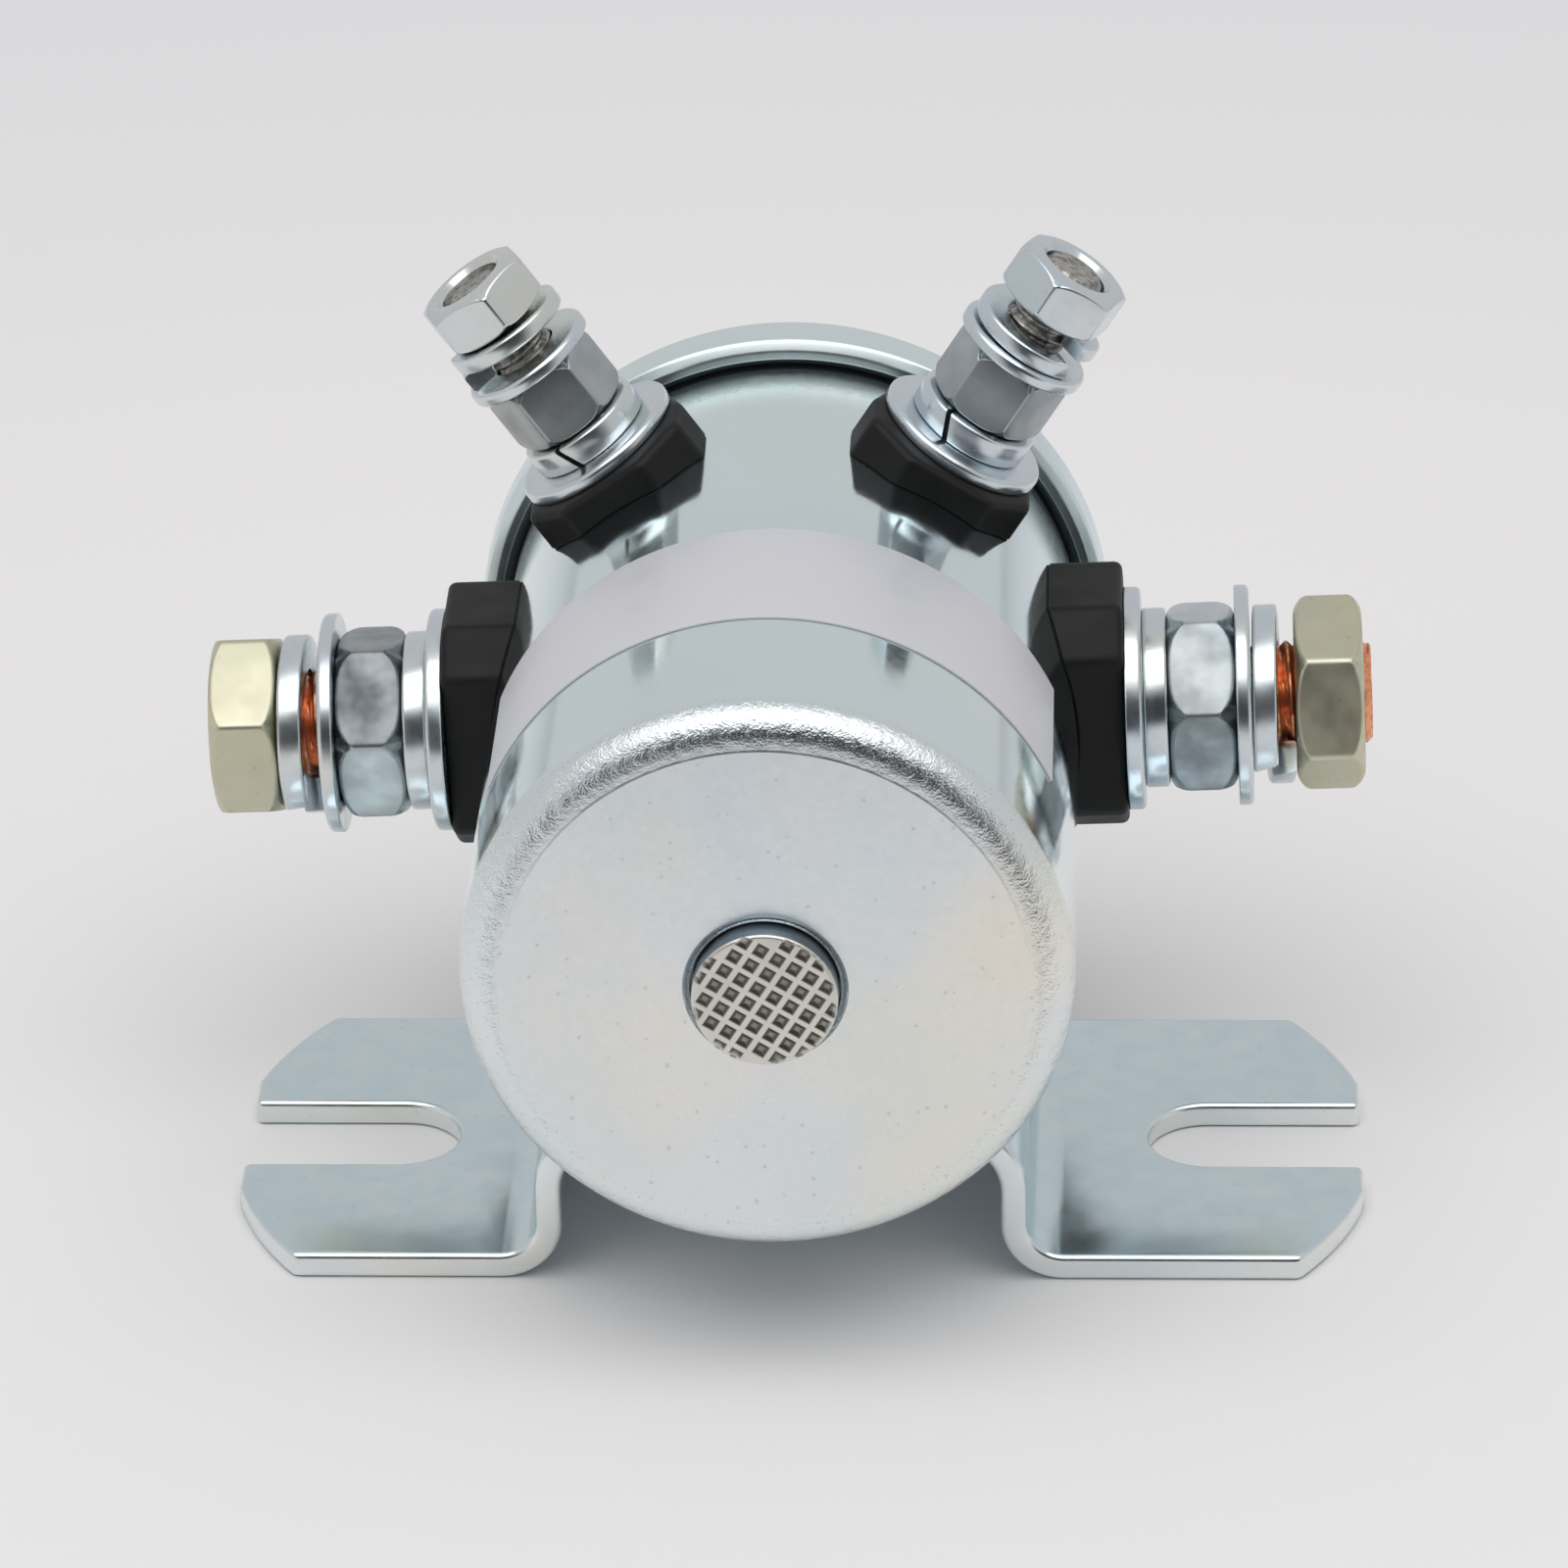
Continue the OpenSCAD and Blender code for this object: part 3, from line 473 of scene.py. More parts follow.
@dataclass(frozen=True)
class DrawnZinc(ZincPlate):
    """Plating on the drawn can: a dull face with flecks, a coarse bend and a mirror-like barrel with a
    painted cool reflection.
    """

    face_mm: float = -31.98
    bend_mm: float = -30.3
    bend_fade_mm: float = 1.2
    rear_mm: float = 14.0
    face_roughness: float = 0.27
    bend_roughness: float = 0.12
    rear_roughness: float = 0.28
    rear_fade_mm: float = 8.0
    face_relief: float = 0.01
    barrel_relief: float = 0.01
    stain: str = "50514f"
    bend_spots: float = 0.75
    plain_spots: float = 0.04
    # The barrel's cool tint is a painted reflection of cooler surroundings.
    barrel: str = "e0f1f3"
    barrel_reflection_share: float = 0.6
    fleck: str = "8e99a0"
    fleck_scale: float = 1500.0
    fleck_share: float = 0.12
    fleck_depth: float = 0.3

    def join(self, coat: Coat, layers: Layers) -> None:
        """Joins the layers to the shader, with their own strength in each zone.

        Args:
            coat: the material being made.
            layers: the plating's layers.
        """
        front, edge = self.face_mm * MM, self.bend_mm * MM
        (face,) = coat.effect("zone", {"Start": -1.0, "End": front, "Fade In": 0.1, "Fade Out": 0.12 * MM})
        fades = {"Fade In": 0.03 * MM, "Fade Out": self.bend_fade_mm * MM}
        (bend,) = coat.effect("zone", {"Start": front, "End": edge, **fades})
        ends = {"Start": self.rear_mm * MM, "End": 1.0}
        (rear,) = coat.effect("zone", {**ends, "Fade In": self.rear_fade_mm * MM})
        (flecks,) = coat.effect("specks", {"Scale": self.fleck_scale, "Share": self.fleck_share})
        bent = bend * self.bend_spots
        plain = coat.math("MAXIMUM", face, bent)
        # Painted reflection: away from the face and the bend, the barrel is tinted cool.
        cool = plain * -self.barrel_reflection_share + self.barrel_reflection_share
        reflection_tinted = coat.blend(cool, layers.shade, colour(self.barrel))
        # Painted shade: the hole's dish and bore and the gap under the cap's lip darken toward the shade
        # colour.
        shaded = coat.blend(layers.painted_shade, reflection_tinted, colour(self.shade_tone))
        pitted = layers.spots * coat.math("MAXIMUM", bent + face * self.plain_spots, self.plain_spots)
        stained = coat.blend(pitted, shaded, colour(self.stain))
        flecked = coat.blend(flecks * plain * self.fleck_depth, stained, colour(self.fleck))
        rough = layers.rough
        zones = ((face, self.face_roughness), (bend, self.bend_roughness), (rear, self.rear_roughness))
        for zone, roughness in zones:
            rough = rough + zone * (roughness - self.roughness)
        coat.wear(Base_Color=flecked, Roughness=rough)
        amount = coat.math("MAXIMUM", face * self.face_relief + bend, self.barrel_relief)
        coat.relief(layers.height * amount, self.depth_mm)


@dataclass(frozen=True)
class BareMetal(Finish):
    """Turned, drawn or ground metal without plating."""

    second: str = "9a9a98"
    scale: float = 700.0
    sharpness: float = 0.45
    dull: float = 0.15

    def dress(self, coat: Coat) -> None:
        """Adds worn marks and a second shade.

        Args:
            coat: the material being made.
        """
        (marks,) = coat.effect("scuffs", {"Scale": self.scale, "Sharpness": self.sharpness})
        shade = coat.blend(marks, colour(self.base), colour(self.second))
        coat.wear(Metallic=1.0, Base_Color=shade, Roughness=self.gloss(coat, marks))
        coat.relief(marks, self.depth_mm)


@dataclass(frozen=True)
class StruckIron(Finish):
    """The core's iron, with painted shade in the struck pits of its riveted end."""

    # Painted shade in the pits: dark walls where shade falls, lighter floors where light reaches.
    pit_wall_shade: str = "68655c"
    pit_floor: str = "aaa79c"
    shank: str = "98a4b0"
    face_mm: float = -33.7
    floor_mm: float = 0.2
    middle_mm: tuple[float, float] = (-1.0, 32.0)
    pitted_mm: float = 4.95
    dull: float = 0.12
    depth_mm: float = 0.008
    grain_scale: float = 1400.0

    def dress(self, coat: Coat) -> None:
        """Darkens what lies behind the riveted end's face: painted shade in the pits, darkest on their walls,
        and a blue-grey shank.

        Args:
            coat: the material being made.
        """
        x, y, z = coat.split(coat.where())
        depth = y - self.face_mm * MM
        # Painted shade: what is sunk behind the face near the middle takes the pits' colours.
        sunk = coat.spread(depth, 0.015 * MM, 0.05 * MM)
        centre = (self.middle_mm[0] * MM, self.middle_mm[1] * MM, 0.0)
        away = coat.vector("DISTANCE", coat.join(x, z, 0.0), centre, output="Value")
        near = coat.spread(away, (self.pitted_mm - 0.25) * MM, self.pitted_mm * MM, 1.0, 0.0)
        outer = (1.0 - near) * coat.spread(depth, 0.15 * MM, 0.3 * MM)
        across = coat.spread(depth, (self.floor_mm - 0.05) * MM, self.floor_mm * MM, 0.0, 0.6)
        height, mask = coat.effect("grain", {"Scale": self.grain_scale, "Waves": 0.5})
        # Painted shade: the pits' walls dark, their floors lighter.
        pit_shade = coat.blend(across, colour(self.pit_wall_shade), colour(self.pit_floor))
        turned = coat.blend(outer, colour(self.base), colour(self.shank))
        shade = coat.blend(sunk * near, turned, pit_shade)
        coat.wear(Metallic=1.0, Base_Color=shade, Roughness=self.gloss(coat, mask))
        coat.relief(height, self.depth_mm)


@dataclass(frozen=True)
class Moulding(Finish):
    """Moulded plastic, rubber, fibre or card, with a fine grain."""

    second: str = "2a2a2b"
    mottled: float = 0.6
    scale: float = 1200.0
    depth_mm: float = 0.01
    specular: float = 0.5

    def dress(self, coat: Coat) -> None:
        """Adds a mottled second shade and grain.

        Args:
            coat: the material being made.
        """
        height, mask = coat.effect("grain", {"Scale": self.scale, "Waves": 0.6})
        shade = coat.blend(mask * self.mottled, colour(self.base), colour(self.second))
        coat.wear(Specular_IOR_Level=self.specular, Base_Color=shade, Roughness=self.gloss(coat, mask))
        coat.relief(height, self.depth_mm)


@dataclass(frozen=True)
class FilmLabel(Finish):
    """Plain silver film with a very fine sparkle."""

    cool: str = "d2d3dc"
    warm: str = "dfdbd8"
    tint_scale: float = 45.0
    grain_scale: float = 2600.0
    dull: float = 0.08
    depth_mm: float = 0.002

    def dress(self, coat: Coat) -> None:
        """Adds the film's sparkle and a soft change of shade.

        Args:
            coat: the material being made.
        """
        height, mask = coat.effect("grain", {"Scale": self.grain_scale, "Waves": 0.2})
        tints = {"Base": colour(self.base), "Cool": colour(self.cool), "Warm": colour(self.warm)}
        (tint,) = coat.effect("tint", {**tints, "Scale": self.tint_scale, "Amount": 0.5})
        coat.wear(Metallic=0.25, Base_Color=tint, Roughness=self.gloss(coat, mask))
        coat.relief(height, self.depth_mm)


@dataclass(frozen=True)
class WoundWire(Finish):
    """Turns of enamelled wire laid side by side along the can."""

    # Painted shade in the grooves between the turns.
    groove_shade: str = "3a1c10"
    wire_mm: float = 0.5
    depth_mm: float = 0.25

    def dress(self, coat: Coat) -> None:
        """Adds the ridges of the turns, with painted shade in the grooves between them.

        Args:
            coat: the material being made.
        """
        turns = coat.math("PINGPONG", coat.split(coat.where())[1] / (self.wire_mm * MM), 0.5)
        # Painted shade: the grooves between the turns are darkened.
        shade = coat.blend(coat.spread(turns, 0.0, 0.5, 1.0, 0.0), colour(self.base), colour(self.groove_shade))
        coat.wear(Metallic=0.8, Base_Color=shade)
        coat.relief(turns, self.depth_mm)


FINISHES: dict[str, Finish] = {
    "zinc_plate": ZincPlate("zinc_hardware", "d5dce1", 0.2, waves=0.6, spotted=0.1),
    "worn_steel": BareMetal("worn_steel", "b9b6b1", 0.4, second="86837e", scale=2200.0),
    # The can's darker shade colour is its painted shade round the front hole and under the cap's lip.
    "can_zinc": DrawnZinc(
        "can_zinc", "e6e9ea", 0.08, cool="d3e2e8", warm="f0e9d6", tint=0.6, tint_scale=45.0, dull=0.04,
        grain_scale=6200.0, depth_mm=0.055, spot_scale=5200.0, shade_tone="3c494c",
    ),
    # The sheet's faces take the darker shade colour; its cut edges keep the bright base as a painted
    # highlight.
    "sheet_zinc": ZincPlate(
        "sheet_zinc", "eef1f0", 0.2, tint_scale=55.0, dull=0.06, waves=0.15, spotted=0.1, shade_tone="cfdfe5",
        shade_dull=0.0,
    ),
    "olive_zinc": ZincPlate(
        "olive_zinc", "cecab2", 0.34, cool="c4c8b8", warm="d8d0a8", tint_scale=120.0, waves=0.3
    ),
    "copper_stud": BareMetal("stud_copper", "f0a880", 0.3, second="dc9068", scale=2200.0),
    "black_moulding": Moulding("black_moulding", "080808", 0.46, second="0f0f10", specular=0.3),
    "silver_label": FilmLabel("silver_label", "d5d5d8", 0.42),
    "soft_iron": StruckIron("soft_iron", "dedcd5", 0.32),
    "spring_steel": BareMetal("spring_steel", "a9adb0", 0.28),
    "copper_wire": WoundWire("copper_wire", "9c4a22", 0.35),
    "sleeved_lead": Moulding("sleeved_lead", "1a1a1b", 0.6),
    "nylon": Moulding("natural_nylon", "ddd8c4", 0.45, second="cfc9b2"),
    "tape": Moulding("winding_tape", "d8b858", 0.5, second="c4a246", scale=500.0),
    "fibre": Moulding("red_fibre", "6d3f2c", 0.6, second="57301f", scale=600.0),
    "gasket": Moulding("gasket_rubber", "1c1c1d", 0.7),
}


# Shapes, in millimetres


def rounded(points: Sequence[tuple[float, float, float]], closed: bool = True, steps: int = 6) -> Profile:
    """Rounds the corners of an outline.

    Args:
        points: each corner's two coordinates and its radius.
        closed: whether the last corner joins the first.
        steps: flats along each rounded corner.

    Returns:
        The outline's points.
    """
    count = len(points)
    path: Profile = []
    for i, (x, y, radius) in enumerate(points):
        if radius <= 0 or (not closed and i in (0, count - 1)):
            path.append((x, y))
            continue
        here = Vector((x, y))
        before = (Vector(points[i - 1][:2]) - here).normalized()
        after = (Vector(points[(i + 1) % count][:2]) - here).normalized()
        half = before.angle(after) / 2
        middle = here + (before + after).normalized() * (radius / math.sin(half))
        start = here + before * (radius / math.tan(half)) - middle
        end = here + after * (radius / math.tan(half)) - middle
        first = math.atan2(start.y, start.x)
        sweep = math.remainder(math.atan2(end.y, end.x) - first, math.tau)
        path += arc(tuple(middle), radius, first, first + sweep, steps)
    return path


def arc(middle: tuple[float, float], radius: float, start: float, end: float, steps: int) -> Profile:
    """Points along an arc from one angle to another, in radians."""
    turns = np.linspace(start, end, steps + 1)
    return [(middle[0] + radius * math.cos(a), middle[1] + radius * math.sin(a)) for a in turns]


def loft(rings: Sequence[np.ndarray], loop: bool) -> Shape:
    """Joins rings of points by quads.

    Args:
        rings: arrays of shape (n, 3), all of one length.
        loop: joins the last ring to the first; otherwise both ends are closed by a flat face.

    Returns:
        The points and the faces.
    """
    around, total = len(rings[0]), len(rings)
    faces: list[tuple[int, ...]] = []
    for i in range(total if loop else total - 1):
        a, b = i * around, ((i + 1) % total) * around
        faces += [(a + j, a + (j + 1) % around, b + (j + 1) % around, b + j) for j in range(around)]
    if not loop:
        faces += [tuple(reversed(range(around))), tuple(range((total - 1) * around, total * around))]
    return np.concatenate(rings), faces


def lathe(profile: Profile, segments: int = 192, loop: bool = True) -> Shape:
    """Turns a profile of radius and height round the z axis.

    Args:
        profile: the profile's points.
        segments: flats round the axis.
        loop: whether the profile is a closed loop.

    Returns:
        The points and the faces.
    """
    angles = np.linspace(0, math.tau, segments, endpoint=False)
    return loft([ring_at(angles, r, z) for r, z in profile], loop)


def ring_at(angles: np.ndarray, radius: np.ndarray | float, height: np.ndarray | float) -> np.ndarray:
    """Makes a ring of points from a radius and a height in each direction."""
    level = np.broadcast_to(height, angles.shape)
    return np.column_stack([radius * np.cos(angles), radius * np.sin(angles), level])


def outline_radius(corners: Profile, corner_r: float, angles: np.ndarray) -> np.ndarray:
    """Measures how far a convex outline with rounded corners reaches in each direction.

    Args:
        corners: its corners, anticlockwise round the origin.
        corner_r: the radius of its corners.
        angles: the directions.

    Returns:
        The reach in each direction.
    """
    points = np.array(corners, float)
    edge = np.roll(points, -1, axis=0) - points
    normal = np.column_stack([edge[:, 1], -edge[:, 0]]) / np.linalg.norm(edge, axis=1)[:, None]
    offset = (normal * points).sum(1) - corner_r
    pairs = zip(np.roll(normal, 1, axis=0), normal, np.roll(offset, 1), offset, strict=True)
    inner = np.array([np.linalg.solve(np.array([m, n]), np.array([a, b])) for m, n, a, b in pairs])
    span = np.roll(inner, -1, axis=0) - inner
    ray = np.column_stack([np.cos(angles), np.sin(angles)])
    low = np.zeros(len(angles))
    high = np.full(len(angles), np.linalg.norm(points, axis=1).max() + 1)
    for _ in range(40):
        middle = (low + high) / 2
        at = ray * middle[:, None]
        along = ((at[:, None] - inner) * span).sum(2) / (span**2).sum(1)
        nearest = inner + np.clip(along, 0, 1)[..., None] * span
        gap = np.linalg.norm(at[:, None] - nearest, axis=2).min(1)
        beyond = ((at @ normal.T - offset).max(1) > 0) & (gap > corner_r)
        high, low = np.where(beyond, middle, high), np.where(beyond, low, middle)
    return low


def directions(corners: Profile, spread_deg: float = 4.0, even: int = 72) -> np.ndarray:
    """Chooses directions that follow an outline closely at its corners.

    Args:
        corners: the outline's corners.
        spread_deg: how far the close directions reach on each side of a corner.
        even: how many evenly spaced directions are added.

    Returns:
        The sorted directions.
    """
    near = np.radians(np.linspace(-spread_deg, spread_deg, 9))
    chosen = [math.atan2(y, x) + d for x, y in corners for d in near]
    chosen += list(np.linspace(-math.pi, math.pi, even, endpoint=False))
    return np.unique(np.round(np.mod(np.array(chosen) + math.pi, math.tau) - math.pi, 4))


def in_metres(placing: Matrix) -> Matrix:
    """Turns a placing in millimetres into one in metres."""
    return Matrix.Translation(placing.translation * MM) @ placing.to_3x3().to_4x4()


def put(name: str, shape: Shape, placing: Matrix, material: Material) -> Piece:
    """Makes an object from points in millimetres.

    Args:
        name: the object's name.
        shape: its points and faces.
        placing: where its own axes lie in the frame, in millimetres.
        material: its finish.

    Returns:
        The object, at the origin, with its place in its mesh.
    """
    placed = shape[0] @ np.array(placing.to_3x3()).T + np.array(placing.translation)
    mesh = bpy.data.meshes.new(name)
    mesh.from_pydata((placed * MM).tolist(), [], shape[1])
    mesh.materials.append(material)
    made = bpy.data.objects.new(name, mesh)
    bpy.context.scene.collection.objects.link(made)
    mend(made, SHARP_DEG)
    return made


def mend(piece: Piece, sharp_deg: float, weld: bool = False) -> None:
    """Turns a piece's faces outwards and shades it smooth, apart from its sharp edges.

    Args:
        piece: the piece.
        sharp_deg: edges that turn by more than this stay sharp.
        weld: whether points in the same place are merged first.
    """
    work = bmesh.new()
    work.from_mesh(piece.data)
    if weld:
        bmesh.ops.remove_doubles(work, verts=work.verts, dist=1e-7)
    bmesh.ops.recalc_face_normals(work, faces=work.faces)
    work.to_mesh(piece.data)
    work.free()
    smooth(piece, sharp_deg)


def smooth(piece: Piece, sharp_deg: float) -> None:
    """Shades a piece smooth, apart from its sharp edges.

    Args:
        piece: the piece.
        sharp_deg: edges that turn by more than this stay sharp.
    """
    piece.data.polygons.foreach_set("use_smooth", [True] * len(piece.data.polygons))
    piece.data.set_sharp_from_angle(angle=math.radians(sharp_deg))
    piece.data.update()


def paint_shade(piece: Piece, share: np.ndarray) -> None:
    """Gives each point of a piece its share of painted shade."""
    piece.data.attributes.new(PAINTED_SHADE, "FLOAT", "POINT").data.foreach_set("value", share)


def settle(piece: Piece) -> None:
    """Turns a piece's modifiers into plain mesh.

    Args:
        piece: the piece, whose modifiers are removed.
    """
    mesh = bpy.data.meshes.new_from_object(piece.evaluated_get(bpy.context.evaluated_depsgraph_get()))
    piece.modifiers.clear()
    piece.data = mesh


def stand_for(piece: Piece, body: str, slot: str, *nodes: str) -> None:
    """Makes a piece ride with a body in the place of some solids.

    Args:
        piece: the piece.
        body: the body that it rides on.
        slot: the material slot of the record; not used.
        nodes: the nodes that it stands for.
    """
    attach(piece, body)
    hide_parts(*nodes)
    LOG.info("%s: %d faces, for %s", piece.name, len(piece.data.polygons), ", ".join(nodes))


# Geometry Nodes


class ShapeGroup(Group):
    """A Geometry Nodes tree that makes one shape in a finish."""

    def __init__(self, name: str, sizes: dict[str, float | int]) -> None:
        """Makes the tree with its named sizes."""
        inputs = {"Geometry": GEOMETRY, **sizes, "Finish": MATERIAL}
        super().__init__(name, inputs, {"Geometry": GEOMETRY}, "GeometryNodeTree")

    def place(self) -> Value:
        """Gives the place of each point."""
        return self.out("GeometryNodeInputPosition", 0)

    def move(self, geometry: Value, place: Value) -> Value:
        """Moves each point to a place."""
        return self.out("GeometryNodeSetPosition", 0, {"Geometry": geometry, "Position": place})

    def lay(self, geometry: Value, shift: Value, turn: object) -> Value:
        """Turns and shifts a whole shape."""
        ways = {"Geometry": geometry, "Translation": shift, "Rotation": turn}
        return self.out("GeometryNodeTransform", 0, ways)

    def dressed(self, geometry: Value) -> Tree:
        """Ends the tree with real geometry in its finish.

        Args:
            geometry: the shape.

        Returns:
            The finished tree.
        """
        solid = self.out("GeometryNodeRealizeInstances", 0, {0: geometry})
        ways = {"Geometry": solid, "Material": self["Finish"]}
        return self.give(Geometry=self.out("GeometryNodeSetMaterial", 0, ways))


class RepeatingShapes:
    """The Geometry Nodes trees for threads, bent bars and struck faces."""

    def __init__(self) -> None:
        """Builds the trees."""
        self.thread = self.thread_tree()
        self.coil = self.coil_tree()
        self.struck = self.struck_tree()

    @staticmethod
    def thread_tree() -> Tree:
        """A rod with a helical V thread and a bevelled tip.

        Returns:
            The tree.
        """
        sizes = {"Radius": 0.004, "Length": 0.02, "Pitch": 0.001, "Depth": 0.0006, "Tip": 0.0005, "Rows": 100}
        g = ShapeGroup("screw_thread", sizes)
        radius, length = g["Radius"], g["Length"]
        ways = {"Vertices": 64, "Side Segments": g["Rows"], "Radius": radius, "Depth": length}
        rod = g.out("GeometryNodeMeshCylinder", "Mesh", ways, fill_type="TRIANGLE_FAN")
        x, y, z = g.split(g.place())
        turn = g.math("ARCTAN2", y, x) / math.tau
        tooth = g.math("PINGPONG", z / g["Pitch"] - turn, 0.5) * 2.0
        crest = 1.15
        cut = (1.0 - g.math("MINIMUM", tooth * crest, 1.0)) * g["Depth"]
        bevel = g.math("MAXIMUM", g["Tip"] - (length / 2.0 - z), 0.0)
        share = (radius - g.math("MAXIMUM", cut, bevel)) / radius
        inside = g.math("LESS_THAN", g.math("SQRT", x * x + y * y), radius * 0.5)
        kept = inside * (1.0 - share) + share
        return g.dressed(g.move(rod, g.join(x * kept, y * kept, z)))

    @staticmethod
    def coil_tree() -> Tree:
        """A bar bent round a helix, with a rectangular or round section.

        Returns:
            The tree.
        """
        path = {"Radius": 0.005, "Turns": 1.0, "Rise": 0.001, "Bend": 1.0, "Hand": 1.0, "Slant": 0.0}
        section = {"Width": 0.002, "Thickness": 0.001, "Edge": 0.0002, "Steps": 96}
        g = ShapeGroup("bent_bar", path | section)
        line = g.out("GeometryNodeCurvePrimitiveLine", 0)
        steps = g.out("GeometryNodeResampleCurve", 0, {"Curve": line, "Count": g["Steps"]})
        share = g.out("GeometryNodeSplineParameter", "Factor")
        angle = share * math.tau * g["Turns"]
        across = g.math("COSINE", angle) * g["Radius"]
        along = g.math("SINE", angle) * g["Radius"] * g["Hand"]
        bent = g.move(steps, g.join(across, along, g.math("POWER", share, g["Bend"]) * g["Rise"]))
        level = g.out("GeometryNodeSetCurveNormal", 0, {"Curve": bent}, mode="Z_UP")
        sides = {"Width": g["Width"], "Height": g["Thickness"]}
        bar = g.out("GeometryNodeCurvePrimitiveQuadrilateral", 0, sides)
        corners = {"Curve": bar, "Radius": g["Edge"], "Count": 3, "Limit Radius": True}
        eased = g.out("GeometryNodeFilletCurve", 0, corners, mode="POLY")
        ways = {"Curve": level, "Profile Curve": eased, "Fill Caps": True}
        swept = g.out("GeometryNodeCurveToMesh", 0, ways)
        here = g.place()
        lean = g.split(here)[2] * g["Slant"]
        leaned = g.out("ShaderNodeVectorRotate", 0, {"Vector": here, "Angle": lean}, rotation_type="Z_AXIS")
        return g.dressed(g.move(swept, leaned))

    @staticmethod
    def struck_tree() -> Tree:
        """A turned piece with rows of square pits struck into its upper face.

        Returns:
            The tree.
        """
        pits = {"Spacing": 0.0014, "Pit Width": 0.0009, "Floor Share": 0.4, "Pit Depth": 0.0003, "Rows": 7}
        layout = {"Face Height": 0.0, "Shift X": 0.0, "Shift Y": 0.0, "Turn": 0.0, "Reach": 0.005}
        g = ShapeGroup("struck_face", pits | layout)
        rows, width, deep = g["Rows"], g["Pit Width"], g["Pit Depth"]
        span = g["Spacing"] * (rows - 1.0)
        sides = {"Size X": span, "Size Y": span, "Vertices X": rows, "Vertices Y": rows}
        grid = g.out("GeometryNodeMeshGrid", "Mesh", sides)
        moved = g.lay(grid, g.join(g["Shift X"], g["Shift Y"], 0.0), (0.0, 0.0, 0.0))
        near = g.math("LESS_THAN", g.vector("LENGTH", g.place(), output="Value"), g["Reach"])
        diagonal = 0.7071
        narrow = width * diagonal * g["Floor Share"]
        wide = width * ((1.0 - g["Floor Share"]) * diagonal + diagonal)
        cone = {"Vertices": 4, "Radius Top": wide, "Radius Bottom": narrow, "Depth": deep * 2.0}
        punch = g.out("GeometryNodeMeshCone", "Mesh", cone)
        squared = g.lay(punch, g.join(0.0, 0.0, deep * -1.0), (0.0, 0.0, math.radians(45)))
        places = {"Points": moved, "Selection": near, "Instance": squared}
        placed = g.out("GeometryNodeInstanceOnPoints", 0, places)
        laid = g.lay(placed, g.join(0.0, 0.0, g["Face Height"]), g.join(0.0, 0.0, g["Turn"]))
        punches = g.out("GeometryNodeRealizeInstances", 0, {0: laid})
        both = {"Mesh 1": g["Geometry"], "Mesh 2": punches}
        return g.dressed(g.out("GeometryNodeMeshBoolean", 0, both, operation="DIFFERENCE", solver="EXACT"))

    @staticmethod
    def run(piece: Piece, tree: Tree, values: dict[str, object], placing: Matrix) -> None:
        """Runs a tree on a piece and keeps its result as a plain mesh.

        Args:
            piece: the piece, whose own mesh the tree may use.
            tree: the Geometry Nodes tree.
            values: its inputs by name, with lengths in metres.
            placing: where the result's own axes lie in the frame, in millimetres.
        """
        modifier = piece.modifiers.new("shape", "NODES")
        modifier.node_group = tree
        for item in tree.interface.items_tree:
            if item.item_type == "SOCKET" and item.in_out == "INPUT" and item.name in values:
                modifier[item.identifier] = values[item.name]
        settle(piece)
        piece.data.transform(in_metres(placing))

    @classmethod
    def make(
        cls, tree: Tree, name: str, values: dict[str, object], placing: Matrix, sharp_deg: float = 40.0
    ) -> Piece:
        """Runs a tree and keeps its result as a plain mesh.

        Args:
            tree: the Geometry Nodes tree.
            name: the object's name.
            values: its inputs by name, with lengths in metres.
            placing: where its own axes lie in the frame, in millimetres.
            sharp_deg: edges that turn by more than this stay sharp.

        Returns:
            The object, at the origin, with its place in its mesh.
        """
        made = bpy.data.objects.new(name, bpy.data.meshes.new(name))
        bpy.context.scene.collection.objects.link(made)
        cls.run(made, tree, values, placing)
        mend(made, sharp_deg, weld=True)
        return made


# Sub-assemblies, with their sizes in millimetres


@dataclass(frozen=True)
class Kit:
    """What every sub-assembly needs: the can's axis, the materials and the trees."""

    materials: dict[str, Material]
    shapes: RepeatingShapes
    axis_x: float = -1.0
    axis_z: float = 32.0

    def along(self, y: float) -> Matrix:
        """Places a piece whose own z axis runs along the can towards the rear."""
        return Matrix.Translation((self.axis_x, y, self.axis_z)) @ Matrix.Rotation(math.radians(-90), 4, "X")

    def on_stud(self, angle: float, y: float) -> Matrix:
        """Places a piece whose own z axis runs outwards along a stud."""
        turn = Matrix.Rotation(math.radians(90 - angle), 4, "Y")
        return Matrix.Translation((self.axis_x, y, self.axis_z)) @ turn


